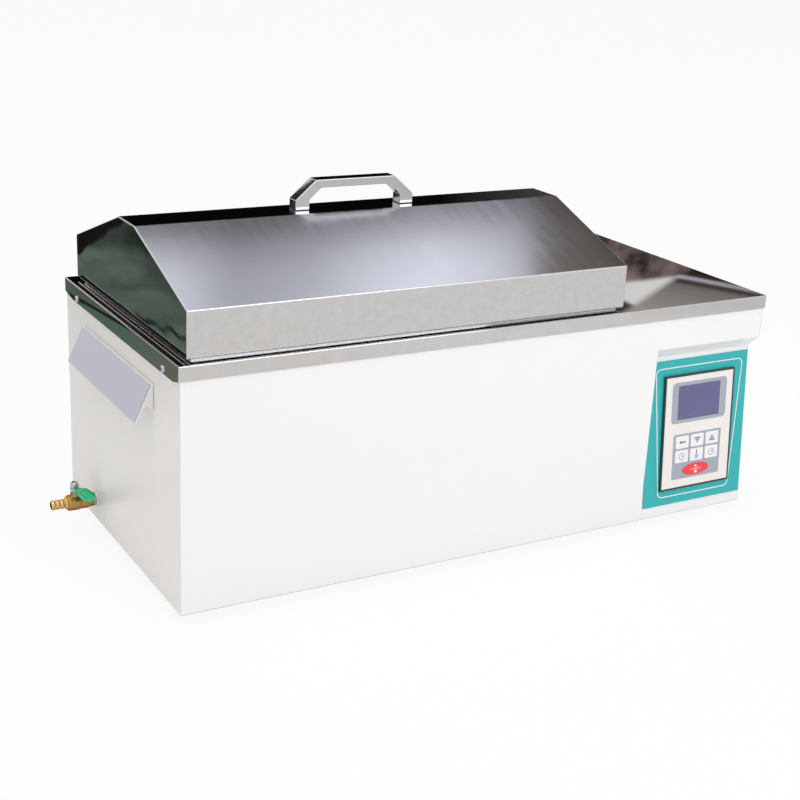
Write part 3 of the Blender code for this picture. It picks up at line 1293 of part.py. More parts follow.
def build_mains():
    flange_width = INLET_WIDTH + 2 * INLET_LIP
    flange_height = INLET_HEIGHT + 2 * INLET_LIP
    front = FIT + INLET_FLANGE
    inlet = rear_block("power_inlet", flange_width, flange_height, INLET_Z, FIT, front, "black_plastic")
    join(inlet, rear_block("inlet_box", INLET_WIDTH, INLET_HEIGHT, INLET_Z, -INLET_DEPTH, front))
    floor = INLET_WALL - INLET_DEPTH
    socket_width = INLET_WIDTH - 2 * INLET_WALL
    socket_height = INLET_HEIGHT - 2 * INLET_WALL
    cut(inlet, rear_block("inlet_socket", socket_width, socket_height, INLET_Z, floor, MARGIN))
    for pin, across in enumerate((-1, 0, 1)):
        x = INLET_X + across * INLET_PIN_PITCH
        z = INLET_Z + (INLET_PIN_RISE if across == 0 else 0.0)
        low = (x - INLET_PIN / 4, REAR_PANEL_OUTSIDE - INLET_DEPTH + INLET_WALL / 2, z - INLET_PIN / 2)
        high = (x + INLET_PIN / 4, REAR_PANEL_OUTSIDE + floor + INLET_PIN_LENGTH, z + INLET_PIN / 2)
        join(inlet, block(f"inlet_pin_{pin}", low, high))

    flange_width = SWITCH_WIDTH + 2 * SWITCH_LIP
    flange_height = SWITCH_HEIGHT + 2 * SWITCH_LIP
    front = FIT + SWITCH_FLANGE
    frame = rear_block(
        "power_switch_frame", flange_width, flange_height, SWITCH_Z, FIT, front, "black_plastic"
    )
    join(frame, rear_block("switch_box", SWITCH_WIDTH, SWITCH_HEIGHT, SWITCH_Z, -SWITCH_DEPTH, front))
    inner_width = SWITCH_WIDTH - 2 * SWITCH_WALL
    inner_height = SWITCH_HEIGHT - 2 * SWITCH_WALL
    floor = SWITCH_WALL - SWITCH_DEPTH
    cut(frame, rear_block("switch_bore", inner_width, inner_height, SWITCH_Z, floor, MARGIN))
    half = Vector((inner_width / 2 - FIT, ROCKER_THICKNESS / 2, inner_height / 2 - ROCKER_GAP))
    block("power_rocker", -half, half, "red_key", ROCKER)


def build_relay():
    """A solid state relay on a finned sink, on the base plate beside the rear panel."""
    pitch = (RELAY_LENGTH - SINK_FIN_THICKNESS) / (SINK_FINS - 1)
    top = SINK_FIN_HEIGHT + SINK_PLATE
    outline = [(RELAY_LENGTH, top), (0.0, top)]
    for fin in range(SINK_FINS):
        left = fin * pitch
        outline += [(left, 0.0), (left + SINK_FIN_THICKNESS, 0.0)]
        if fin < SINK_FINS - 1:
            outline += [(left + SINK_FIN_THICKNESS, SINK_FIN_HEIGHT), (left + pitch, SINK_FIN_HEIGHT)]
    x = CASE_RIGHT - RELAY_FROM_RIGHT
    y = CASE_REAR - RELAY_FROM_REAR
    relay = prism("solid_state_relay", outline, RELAY_WIDTH, "y", "aluminium", (x, y, BASE_TOP + FIT))
    inset = SINK_FIN_THICKNESS
    half = RELAY_WIDTH / 2 - inset
    low = (x + inset, y - half, BASE_TOP + SINK_FIN_HEIGHT)
    high = (x + RELAY_LENGTH - inset, y + half, BASE_TOP + top + RELAY_HEIGHT)
    join(relay, block("relay_block", low, high))


build_casing()
build_base()
build_deck()
build_tank()
build_jacket()
build_lid()
build_grips()
build_control_panel()
build_drain_cock()
build_heating()
build_shaker()
build_drive()
build_rear_panel()
build_mains()
build_relay()
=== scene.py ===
"""The looks of a shaking water bath.

An enamelled casing, a bright steel deck and lid, a brass drain cock and a control panel.
"""

import json
from math import atan2, cos, pi, radians, sin, tan

import bmesh
import bpy
from mathutils import Matrix, Vector

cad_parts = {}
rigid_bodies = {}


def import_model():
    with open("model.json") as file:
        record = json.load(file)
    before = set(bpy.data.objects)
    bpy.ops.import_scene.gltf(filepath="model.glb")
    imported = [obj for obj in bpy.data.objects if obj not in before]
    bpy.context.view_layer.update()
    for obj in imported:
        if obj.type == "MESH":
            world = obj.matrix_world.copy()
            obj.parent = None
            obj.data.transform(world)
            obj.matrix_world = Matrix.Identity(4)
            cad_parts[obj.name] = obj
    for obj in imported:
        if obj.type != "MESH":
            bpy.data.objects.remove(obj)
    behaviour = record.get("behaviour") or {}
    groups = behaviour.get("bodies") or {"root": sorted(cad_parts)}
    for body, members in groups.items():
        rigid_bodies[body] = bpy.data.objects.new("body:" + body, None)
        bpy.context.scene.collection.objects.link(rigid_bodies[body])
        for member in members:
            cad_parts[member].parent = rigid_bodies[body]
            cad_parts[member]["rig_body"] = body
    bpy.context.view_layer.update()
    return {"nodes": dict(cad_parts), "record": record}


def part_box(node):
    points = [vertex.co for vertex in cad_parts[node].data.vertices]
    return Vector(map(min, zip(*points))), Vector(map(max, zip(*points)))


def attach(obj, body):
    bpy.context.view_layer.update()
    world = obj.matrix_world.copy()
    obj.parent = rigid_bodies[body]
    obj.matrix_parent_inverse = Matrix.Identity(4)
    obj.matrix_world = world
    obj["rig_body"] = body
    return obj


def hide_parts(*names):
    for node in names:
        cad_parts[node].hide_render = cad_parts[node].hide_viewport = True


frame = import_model()
BODY_OF = {node: piece["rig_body"] for node, piece in frame["nodes"].items()}
SLOT_OF = {row["node"]: row["material_slot"] for row in frame["record"]["subparts"]}


# Node helpers
def feed(tree, socket, value):
    """Links a socket to another node's output, or sets it to a plain value."""
    if isinstance(value, bpy.types.NodeSocket):
        tree.links.new(value, socket)
    else:
        socket.default_value = value


def set_inputs(tree, node, **inputs):
    """Feeds a node's inputs, whose names are written with _ for a space."""
    for name, value in inputs.items():
        feed(tree, node.inputs[name.replace("_", " ")], value)


def add(tree, kind, settings=None, **inputs):
    """A node of that kind, with its settings and inputs."""
    node = tree.nodes.new(kind)
    for name, value in (settings or {}).items():
        setattr(node, name, value)
    set_inputs(tree, node, **inputs)
    return node


def maths(tree, operation, first, second=0.0, clamp=False):
    node = add(tree, "ShaderNodeMath", {"operation": operation, "use_clamp": clamp})
    feed(tree, node.inputs[0], first)
    feed(tree, node.inputs[1], second)
    return node.outputs[0]


def times(tree, first, second):
    return maths(tree, "MULTIPLY", first, second)


def plus(tree, first, second):
    return maths(tree, "ADD", first, second)


def vectors(tree, operation, first, second):
    """The outputs of a sum on two vectors."""
    node = add(tree, "ShaderNodeVectorMath", {"operation": operation})
    feed(tree, node.inputs[0], first)
    feed(tree, node.inputs[1], second)
    return node.outputs


def mixed(tree, share, first, second):
    """The first colour where share is 0, the second where it is 1."""
    node = add(tree, "ShaderNodeMix", {"data_type": "RGBA"})
    feed(tree, node.inputs[0], share)
    feed(tree, node.inputs[6], first)
    feed(tree, node.inputs[7], second)
    return node.outputs[2]


def between(tree, value, low, high):
    """0 where the value is at or under low, 1 where it is at or over high."""
    node = add(tree, "ShaderNodeMapRange", Value=value, From_Min=low, From_Max=high)
    return node.outputs["Result"]


def spread_over(tree, value, low, high):
    """Turns a value from 0 to 1 into one from low to high."""
    node = add(tree, "ShaderNodeMapRange", Value=value, To_Min=low, To_Max=high)
    return node.outputs["Result"]


def place_of(tree):
    """Where a point lies on the object, in metres."""
    return add(tree, "ShaderNodeTexCoord").outputs["Object"]


def parts_of(tree, vector):
    """A vector's X, Y and Z."""
    return add(tree, "ShaderNodeSeparateXYZ", Vector=vector).outputs


def noise_at(tree, place, size, detail, **inputs):
    return add(tree, "ShaderNodeTexNoise", Vector=place, Scale=size, Detail=detail, **inputs).outputs[0]


def normal_part(tree, axis):
    """How far a face looks along an axis, from -1 to 1."""
    return parts_of(tree, add(tree, "ShaderNodeNewGeometry").outputs["Normal"])[axis]


def looking(tree, axis, low, high):
    """0 to 1 as a face's normal goes from low to high along an axis."""
    return between(tree, normal_part(tree, axis), low, high)


def facing(tree, axis, low, high):
    """1 on faces that look along an axis, either way, and 0 on the others."""
    return between(tree, maths(tree, "ABSOLUTE", normal_part(tree, axis)), low, high)


def opaque(colour, share=1.0):
    return tuple(min(1.0, part * share) for part in colour) + (1.0,)


def grey(level, tint=(1.0, 1.0, 1.0)):
    return tuple(level * part for part in tint) + (1.0,)


def ramp(tree, value, stops):
    """A run of colours along a value, with the stops given as (value, colour)."""
    node = add(tree, "ShaderNodeValToRGB", Fac=value)
    elements = node.color_ramp.elements
    while len(elements) < len(stops):
        elements.new(0.5)
    for element, (place, colour) in zip(elements, stops):
        element.position = place
        element.color = colour
    return node.outputs["Color"]


def new_socket(tree, label, way, kind):
    return tree.interface.new_socket(name=label, in_out=way, socket_type=kind)


# Effects that several finishes share. Noise keeps near its middle, so each is spread by its contrast.
GRAIN_CONTRAST = (-0.35, 1.35)
LINE_CONTRAST = (-0.6, 1.6)
CLOUD_CONTRAST = (-0.5, 1.5)
COARSE_SHARE = 0.6
FINE_SHARE = 0.4
EDGE_GAIN = 6.0


def new_effect(name, inputs, *outputs):
    """An empty group with named inputs, each with its usual value, and named outputs."""
    tree = bpy.data.node_groups.new(name, "ShaderNodeTree")
    for label, value in inputs.items():
        kind = "NodeSocketVector" if isinstance(value, tuple) else "NodeSocketFloat"
        new_socket(tree, label, "INPUT", kind).default_value = value
    for label in outputs:
        new_socket(tree, label, "OUTPUT", "NodeSocketFloat")
    return tree, add(tree, "NodeGroupInput").outputs, add(tree, "NodeGroupOutput").inputs


def make_grain_effect():
    """Noise of a given size, drawn out along the axes whose stretch is small."""
    inputs = {"Size": 400.0, "Stretch": (1.0, 1.0, 1.0), "Detail": 3.0}
    tree, given, out = new_effect("Grain", inputs, "Grain")
    drawn = vectors(tree, "MULTIPLY", place_of(tree), given["Stretch"])[0]
    specks = noise_at(tree, drawn, given["Size"], given["Detail"])
    feed(tree, out["Grain"], spread_over(tree, specks, *GRAIN_CONTRAST))
    return tree


def make_brushing_effect():
    """Brush lines, and the wear that they make up in equal shares with the slow clouding of sheet."""
    inputs = {"Stretch": (1.0, 0.02, 0.02), "Coarse": 90.0, "Fine": 900.0, "Cloud Size": 14.0}
    tree, given, out = new_effect("Brushing", inputs, "Lines", "Wear")
    place = place_of(tree)
    drawn = vectors(tree, "MULTIPLY", place, given["Stretch"])[0]
    coarse = noise_at(tree, drawn, given["Coarse"], detail=4.0)
    fine = noise_at(tree, drawn, given["Fine"], detail=2.0)
    both = plus(tree, times(tree, coarse, COARSE_SHARE), times(tree, fine, FINE_SHARE))
    lines = spread_over(tree, both, *LINE_CONTRAST)
    clouds = noise_at(tree, place, given["Cloud Size"], detail=5.0, Roughness=0.62)
    clouds = spread_over(tree, clouds, *CLOUD_CONTRAST)
    feed(tree, out["Lines"], lines)
    feed(tree, out["Wear"], plus(tree, times(tree, lines, 0.5), times(tree, clouds, 0.5)))
    return tree


def make_rubbed_edge_effect():
    """A mask that is 1 on worn outer edges and 0 on flat faces, broken up by noise."""
    tree, given, out = new_effect("Rubbed edge", {"Width": 0.0008, "Break Up": 160.0}, "Edge")
    rounded_normal = add(tree, "ShaderNodeBevel", {"samples": 4}, Radius=given["Width"]).outputs[0]
    true_normal = add(tree, "ShaderNodeNewGeometry").outputs["Normal"]
    agree = vectors(tree, "DOT_PRODUCT", rounded_normal, true_normal)["Value"]
    turn = maths(tree, "MULTIPLY", maths(tree, "SUBTRACT", 1.0, agree), EDGE_GAIN, clamp=True)
    patches = noise_at(tree, place_of(tree), given["Break Up"], detail=3.0)
    feed(tree, out["Edge"], maths(tree, "MULTIPLY", turn, patches, clamp=True))
    return tree


def make_dust_effect():
    """Dust that settles low down: full at the foot height, gone one fade above it."""
    tree, given, out = new_effect("Settled dust", {"Foot": 0.012, "Fade": 0.05}, "Dust")
    place = place_of(tree)
    above = maths(tree, "SUBTRACT", parts_of(tree, place)["Z"], given["Foot"])
    settled = maths(tree, "SUBTRACT", 1.0, maths(tree, "DIVIDE", above, given["Fade"]), clamp=True)
    specks = noise_at(tree, place, size=55.0, detail=6.0)
    feed(tree, out["Dust"], maths(tree, "MULTIPLY", settled, specks, clamp=True))
    return tree


def make_under_shade_effect():
    """Painted shade: a mask that goes from 0 to 1 as a face turns from the lit tilt down to the shaded one.
    """
    tree, given, out = new_effect("Painted under shade", {"Lit Tilt": 0.25, "Shaded Tilt": -0.75}, "Underside")
    feed(tree, out["Underside"], looking(tree, "Z", given["Lit Tilt"], given["Shaded Tilt"]))
    return tree


GRAIN = make_grain_effect()
BRUSHING = make_brushing_effect()
RUBBED_EDGE = make_rubbed_edge_effect()
DUST = make_dust_effect()
UNDER_SHADE = make_under_shade_effect()


def effect(tree, group, **inputs):
    return add(tree, "ShaderNodeGroup", {"node_tree": group}, **inputs)


# Finishes
RUBBED_TONE = 1.3
# Tone of the painted shade on faces that look down
UNDER_SHADE_TONE = 0.32
# Tone of the painted shade along the casing's foot and right-hand rim
FOLD_SHADE_TONE = 0.3
DUST_COLOUR = (0.42, 0.40, 0.36, 1.0)
COAT_ROUGHNESS = 0.08

# Where the casing's two lines of painted shade start and are full, as heights over its foot and depths from
# its rim
FOOT_SHADE = (0.004, 0.003)
RIM_SHADE = (0.0018, 0.0014)
RIM_SHADE_SHARE = 0.6


def new_finish(name):
    material = bpy.data.materials.new(name)
    material.use_nodes = True
    return material, material.node_tree, material.node_tree.nodes["Principled BSDF"]


def set_bump(tree, shader, height, depth):
    bump = add(tree, "ShaderNodeBump", Height=height, Strength=1.0, Distance=depth)
    set_inputs(tree, shader, Normal=bump.outputs[0])


def fold_shade_mask(tree):
    """Painted shade: up to 1 on a thin line along the casing's foot, and less on another down its right-hand
    rim.
    """
    corners = [corner.co for corner in frame["nodes"]["casing"].data.vertices]
    low = min(corner.z for corner in corners)
    right = max(corner.x for corner in corners)
    place = parts_of(tree, place_of(tree))
    near_foot = between(tree, place["Z"], *(low + up for up in FOOT_SHADE))
    foot = times(tree, near_foot, looking(tree, "Z", -0.05, -0.45))
    near_rim = between(tree, place["X"], *(right - depth for depth in RIM_SHADE))
    rim = times(tree, near_rim, looking(tree, "X", 1.0, 0.9))
    return maths(tree, "MAXIMUM", foot, times(tree, rim, RIM_SHADE_SHARE))


def grained(
    name,
    colour,
    rough,
    grain,
    stretch=(1.0, 1.0, 1.0),
    metal=0.0,
    coat=0.0,
    edge=0.0,
    dust=0.0,
    under_shade=0.0,
    fold_shade=0.0,
):
    """A coloured surface whose tone, gloss and relief all follow one grain.

    The grain is given by its size, its depth, its shift of the tone and its spread of the gloss.
    """
    size, depth, shift, spread = grain
    material, tree, shader = new_finish(name)
    specks = effect(tree, GRAIN, Size=size, Stretch=stretch).outputs["Grain"]
    tone = mixed(tree, specks, opaque(colour, 1.0 - shift), opaque(colour, 1.0 + shift))
    if edge:
        rubbed = effect(tree, RUBBED_EDGE).outputs["Edge"]
        tone = mixed(tree, times(tree, rubbed, edge), tone, opaque(colour, RUBBED_TONE))
    if dust:
        settled = effect(tree, DUST).outputs["Dust"]
        tone = mixed(tree, times(tree, settled, dust), tone, DUST_COLOUR)
    # Painted shade: faces that look down are darkened towards a dim copy of the colour.
    if under_shade:
        underside = effect(tree, UNDER_SHADE).outputs["Underside"]
        tone = mixed(tree, times(tree, underside, under_shade), tone, opaque(colour, UNDER_SHADE_TONE))
        set_inputs(tree, shader, Specular_Tint=opaque(colour))
    # Painted shade along the casing's foot and right-hand rim.
    if fold_shade:
        tone = mixed(tree, times(tree, fold_shade_mask(tree), fold_shade), tone, opaque(colour, FOLD_SHADE_TONE))
    gloss = spread_over(tree, specks, rough - spread, rough + spread)
    set_inputs(tree, shader, Base_Color=tone, Roughness=gloss, Metallic=metal)
    set_inputs(tree, shader, Coat_Weight=coat, Coat_Roughness=COAT_ROUGHNESS)
    set_bump(tree, shader, specks, depth)
    return material


STEEL_TINT = (1.01, 1.0, 0.985)
STEEL_MOTTLE_SIZE = 70.0


def steel(name, stretch, rough, spread, tone=0.61, depth=0.000004, mottle=0.0):
    """Bright rolled sheet: brush lines and slow clouds in the gloss, mottling in the tone."""
    material, tree, shader = new_finish(name)
    wear = effect(tree, BRUSHING, Stretch=stretch).outputs["Wear"]
    dents = effect(tree, GRAIN, Size=STEEL_MOTTLE_SIZE, Detail=3.0).outputs["Grain"]
    spots = plus(tree, times(tree, wear, 1.0 - mottle), times(tree, dents, mottle))
    warm = [tone * part for part in STEEL_TINT]
    colour = mixed(tree, spots, opaque(warm, 0.92), opaque(warm, 1.08))
    gloss = spread_over(tree, wear, rough - spread, rough + spread)
    set_inputs(tree, shader, Base_Color=colour, Roughness=gloss, Metallic=1.0)
    set_bump(tree, shader, wear, depth)
    return material


DISPLAY_VIOLET = (0.090, 0.092, 0.235)
DISPLAY_DOT = (0.05, 0.05, 0.12, 1.0)
DISPLAY_DOT_SHARE = 0.06


def display_finish():
    """Unlit display under a clear window: violet film, a faint dot grid and a slow change of tone."""
    material, tree, shader = new_finish("display_glass")
    slow = effect(tree, GRAIN, Size=30.0, Stretch=(0.4, 1.0, 1.6)).outputs["Grain"]
    tone = mixed(tree, slow, opaque(DISPLAY_VIOLET, 0.9), opaque(DISPLAY_VIOLET, 1.1))
    dots = add(tree, "ShaderNodeTexChecker", Vector=place_of(tree), Scale=1800.0).outputs["Fac"]
    tone = mixed(tree, times(tree, dots, DISPLAY_DOT_SHARE), tone, DISPLAY_DOT)
    set_inputs(tree, shader, Base_Color=tone, Roughness=spread_over(tree, slow, 0.22, 0.34))
    set_inputs(tree, shader, Coat_Weight=0.6, Coat_Roughness=0.05)
    set_bump(tree, shader, slow, 0.000004)
    return material


UP_THE_SLOPE = (1.0, 0.03, 0.03)
LID_TONE = (0.571, 0.565, 0.557)
SATIN = (0.08, 0.22)
SKIRT_DULLER = 0.14
END_BRIGHTER = 0.115
BRUSH_DEPTH = 0.000003
WAVE_DEPTH = 0.00014
MOTTLE_DEPTH = 0.000012


def lid_finish():
    """One folded sheet: satin brushed slopes, matt mottled skirts and mirror-bright, wavy ends."""
    material, tree, shader = new_finish("lid_steel")
    brushed = effect(tree, BRUSHING, Stretch=UP_THE_SLOPE).outputs
    wear = brushed["Wear"]
    mottling = effect(tree, GRAIN, Size=110.0, Detail=3.0).outputs["Grain"]
    waves = effect(tree, GRAIN, Size=24.0, Stretch=(1.0, 1.0, 1.5), Detail=0.0).outputs["Grain"]
    ends = facing(tree, "X", 0.80, 0.95)
    skirts = facing(tree, "Y", 0.80, 0.95)
    ridge = facing(tree, "Z", 0.96, 0.985)
    tone = mixed(tree, wear, opaque(LID_TONE, 0.94), opaque(LID_TONE, 1.06))
    matt = mixed(tree, mottling, opaque(LID_TONE, 0.93), opaque(LID_TONE, 1.06))
    colour = mixed(tree, skirts, tone, matt)
    dull = plus(tree, spread_over(tree, wear, *SATIN), times(tree, skirts, SKIRT_DULLER))
    bright = times(tree, plus(tree, ends, ridge), END_BRIGHTER)
    gloss = maths(tree, "SUBTRACT", dull, bright, clamp=True)
    set_inputs(tree, shader, Base_Color=colour, Roughness=gloss, Metallic=1.0)
    relief = times(tree, brushed["Lines"], BRUSH_DEPTH)
    relief = plus(tree, relief, times(tree, times(tree, waves, ends), WAVE_DEPTH))
    relief = plus(tree, relief, times(tree, times(tree, mottling, skirts), MOTTLE_DEPTH))
    set_bump(tree, shader, relief, 1.0)
    return material


ENAMEL = (0.87, 0.868, 0.862)
ENAMEL_GRAIN = (700.0, 0.000003, 0.012, 0.05)
FILM_GRAIN = (1800.0, 0.000008, 0.015, 0.05)
INK_GRAIN = (2500.0, 0.000004, 0.02, 0.05)

FINISH = {
    "enamel": grained("white_enamel", ENAMEL, 0.32, ENAMEL_GRAIN, dust=0.08),
    # The casing's enamel carries painted shade along its foot and right-hand rim.
    "case_enamel_fold_shade": grained("case_enamel_fold_shade", ENAMEL, 0.32, ENAMEL_GRAIN, dust=0.08, fold_shade=0.8),
    "lid_steel": lid_finish(),
    "deck_steel": steel(
        "deck_steel",
        UP_THE_SLOPE,
        tone=0.565,
        rough=0.032,
        spread=0.012,
        depth=0.0000004,
        mottle=0.5,
    ),
    "tank_steel": steel("tank_steel", (0.03, 0.03, 1.0), rough=0.26, spread=0.08, mottle=0.3),
    "part_steel": steel("part_steel", (0.2, 1.0, 1.0), rough=0.24, spread=0.08),
    "chrome": grained("chrome", (0.48, 0.48, 0.50), 0.06, (300.0, 0.0000005, 0.03, 0.03), metal=1.0),
    "grip": grained("grip_grey", (0.545, 0.565, 0.675), 0.42, (900.0, 0.00002, 0.03, 0.06), edge=0.25),
    "teal": grained("teal_plate", (0.016, 0.425, 0.425), 0.36, (1200.0, 0.000008, 0.03, 0.05), edge=0.15),
    "bezel": grained("bezel_black", (0.026, 0.026, 0.029), 0.38, (1500.0, 0.00002, 0.10, 0.07), edge=0.5),
    "face": grained("face_film", (0.83, 0.79, 0.745), 0.40, FILM_GRAIN),
    "white_ink": grained("white_ink", (0.80, 0.83, 0.84), 0.42, INK_GRAIN),
    "grey_ink": grained("grey_ink", (0.35, 0.39, 0.45), 0.42, INK_GRAIN),
    "blue_ink": grained("blue_ink", (0.03, 0.08, 0.55), 0.42, (2500.0, 0.000004, 0.05, 0.05)),
    "key": grained("key_film", (0.86, 0.835, 0.80), 0.36, FILM_GRAIN),
    "red": grained("run_key_red", (0.90, 0.030, 0.045), 0.30, (1800.0, 0.000008, 0.04, 0.05), coat=0.2),
    "display": display_finish(),
    # Both brasses carry painted shade on faces that look down.
    "brass": grained(
        "cast_brass",
        (0.53, 0.315, 0.105),
        0.30,
        (900.0, 0.00004, 0.14, 0.09),
        metal=1.0,
        edge=0.6,
        under_shade=0.9,
    ),
    "bright_brass": grained(
        "turned_brass",
        (0.70, 0.47, 0.18),
        0.13,
        (700.0, 0.00001, 0.06, 0.06),
        metal=1.0,
        under_shade=0.7,
    ),
    "green_dip": grained(
        "green_dip",
        (0.022, 0.53, 0.25),
        0.34,
        (260.0, 0.00003, 0.08, 0.06),
        coat=0.1,
        edge=0.2,
    ),
    # The dip's raised rim, painted a lighter green than the blade as a highlight
    "green_rim_highlight": grained("green_rim_highlight", (0.002, 0.62, 0.25), 0.22, (260.0, 0.00002, 0.05, 0.05), coat=0.3),
    "silicone": grained("white_silicone", (0.80, 0.80, 0.79), 0.55, (900.0, 0.00001, 0.03, 0.06)),
    "rubber": grained("foot_rubber", (0.03, 0.03, 0.032), 0.70, (900.0, 0.00004, 0.15, 0.10), dust=0.4),
    "black": grained("black_plastic", (0.025, 0.025, 0.027), 0.42, (1400.0, 0.00002, 0.10, 0.08), edge=0.3),
    "board": grained("board_green", (0.02, 0.18, 0.07), 0.45, (240.0, 0.00003, 0.18, 0.10)),
    "wool": grained("glass_wool", (0.72, 0.66, 0.44), 0.90, (260.0, 0.0008, 0.22, 0.06), (0.25, 0.25, 1.0)),
    "motor": grained("motor_grey", (0.20, 0.22, 0.24), 0.45, (600.0, 0.00003, 0.08, 0.08), edge=0.3),
    "aluminium": grained("aluminium", (0.66, 0.67, 0.68), 0.34, (500.0, 0.00001, 0.05, 0.08), metal=1.0),
}


# Mesh helpers, with sizes in metres and angles in radians
WELD = 0.000002
FLAT_ANGLE = radians(0.8)
EDGE_ANGLE = radians(28.0)
SHEET_ANGLE = radians(10.0)
ROUNDING_STEPS = 3


def placed(name, data):
    """A new object in the scene."""
    piece = bpy.data.objects.new(name, data)
    bpy.context.scene.collection.objects.link(piece)
    return piece


def coat(mesh, finish):
    mesh.materials.clear()
    mesh.materials.append(FINISH[finish])


def show(name, mesh, finish):
    """Puts a mesh into the scene at the origin, with its finish."""
    coat(mesh, finish)
    return placed(name, mesh)


def middle_of(node):
    low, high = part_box(node)
    return (low + high) / 2


def evaluated_mesh(piece):
    bpy.context.view_layer.update()
    depsgraph = bpy.context.evaluated_depsgraph_get()
    shape = piece.evaluated_get(depsgraph)
    return bpy.data.meshes.new_from_object(shape, preserve_all_data_layers=True, depsgraph=depsgraph)


def settle(piece):
    """Makes an object's finished shape its plain mesh and takes its modifiers off."""
    mesh = evaluated_mesh(piece)
    piece.modifiers.clear()
    piece.data = mesh
    return piece


def dressed(piece, body, slot, *nodes):
    """Ties a finished piece to its body and hides the nodes that it stands for. Its slot is not used."""
    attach(piece, body)
    if nodes:
        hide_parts(*nodes)
    return piece


def standing_for(piece, node):
    """Ties a finished piece to the body of the one node that it stands for, and hides that node."""
    return dressed(piece, BODY_OF[node], SLOT_OF[node], node)


def mesh_of(bm, name):
    for face in bm.faces:
        face.smooth = True
    mesh = bpy.data.meshes.new(name)
    bm.to_mesh(mesh)
    bm.free()
    return mesh


# A face narrower than this is a sheet's rim
NARROW = 0.0022

# Pieces whose long lower edges are rolled, and how many times a fold's radius they get
ROLLED_FOOT = {"lid_shell": 2.0}


def width_of(face):
    return face.calc_area() / max(side.calc_length() for side in face.edges)


def weigh_edges(bm, fold, rim, sharp, roll):
    """Marks how far each sharp edge is rounded: feet most, then folds, then sheet rims and inner corners."""
    weights = bm.edges.layers.float.new("bevel_weight_edge")
    foot = min(point.co.z for point in bm.verts) + WELD
    for edge in bm.edges:
        if len(edge.link_faces) != 2 or edge.calc_face_angle() < sharp:
            continue
        is_fold = edge.is_convex and min(width_of(face) for face in edge.link_faces) > NARROW
        start, end = (point.co for point in edge.verts)
        is_foot = is_fold and max(start.z, end.z) < foot and abs(end.x - start.x) > abs(end.y - start.y)
        edge[weights] = 1.0 if is_foot else (1.0 if is_fold else rim / fold) / roll


def welded_copy(node, fold, rim, sharp):
    """A node's shape with its loose triangles merged into flat faces."""
    bm = bmesh.new()
    bm.from_mesh(frame["nodes"][node].data)
    bmesh.ops.remove_doubles(bm, verts=bm.verts[:], dist=WELD)
    bmesh.ops.dissolve_limit(bm, angle_limit=FLAT_ANGLE, verts=bm.verts[:], edges=bm.edges[:])
    weigh_edges(bm, fold, rim, sharp, ROLLED_FOOT.get(node, 1.0))
    mesh = mesh_of(bm, f"{node}_shape")
    for name in ("custom_normal", "UVMap"):
        if name in mesh.attributes:
            mesh.attributes.remove(mesh.attributes[name])
    return mesh


def round_edges(piece, radius, by_weight):
    bevel = piece.modifiers.new("rounding", "BEVEL")
    bevel.width = radius
    bevel.segments = ROUNDING_STEPS
    bevel.limit_method = "WEIGHT" if by_weight else "ANGLE"
    bevel.angle_limit = EDGE_ANGLE
    bevel.use_clamp_overlap = False
    shading = piece.modifiers.new("shading", "WEIGHTED_NORMAL")
    shading.keep_sharp = True


def softened(node, finish, fold, rim, sharp):
    """Stands for a node, with the same shape and its edges rounded as the real piece's are."""
    piece = show(f"{node}_skin", welded_copy(node, fold, rim, sharp), finish)
    round_edges(piece, fold * ROLLED_FOOT.get(node, 1.0), True)
    return standing_for(settle(piece), node)


# Pieces that keep their shape and get softer edges: finish, fold radius, rim radius
SOFTENED = {
    "casing": ("case_enamel_fold_shade", 0.0014, 0.0004),
    "rear_panel": ("enamel", 0.0004, 0.0004),
    "deck": ("deck_steel", 0.0013, 0.0004),
    "lid_shell": ("lid_steel", 0.0013, 0.0004),
    "tank": ("tank_steel", 0.0040, 0.0004),
    "lid_handle": ("chrome", 0.0010, 0.0010),
    "handle_grip_left": ("enamel", 0.0006, 0.0005),
    "handle_grip_right": ("enamel", 0.0006, 0.0005),
    "handle_face_left": ("grip", 0.0004, 0.0004),
    "handle_face_right": ("grip", 0.0004, 0.0004),
    "control_panel": ("teal", 0.0003, 0.0003),
    "controller_bezel": ("bezel", 0.0006, 0.0006),
    "controller_face": ("face", 0.0003, 0.0003),
    "key_run_stop": ("red", 0.0006, 0.0006),
    "valve_body": ("brass", 0.0006, 0.0003),
    "packing_nut": ("chrome", 0.0005, 0.0003),
    "flask_tray": ("tank_steel", 0.0006, 0.0004),
    "shaker_carriage": ("part_steel", 0.0008, 0.0008),
    "drive_arm": ("aluminium", 0.0006, 0.0006),
    "heater_cover": ("tank_steel", 0.0008, 0.0004),
    "power_inlet": ("black", 0.0005, 0.0004),
    "power_switch_frame": ("black", 0.0005, 0.0004),
    "power_rocker": ("red", 0.0008, 0.0008),
    "foot_front_left": ("rubber", 0.0010, 0.0010),
    "foot_front_right": ("rubber", 0.0010, 0.0010),
    "foot_rear_left": ("rubber", 0.0010, 0.0010),
    "foot_rear_right": ("rubber", 0.0010, 0.0010),
    "lid_handle_screw_left": ("chrome", 0.0004, 0.0004),
    "lid_handle_screw_right": ("chrome", 0.0004, 0.0004),
    "motor_bracket": ("aluminium", 0.0010, 0.0005),
    "solid_state_relay": ("aluminium", 0.0005, 0.0005),
    "drive_motor": ("motor", 0.0015, 0.0015),
    "crank_disc": ("part_steel", 0.0006, 0.0006),
}

SHEET_PIECES = ("casing", "deck", "lid_shell", "rear_panel", "tank", "flask_tray", "heater_cover")

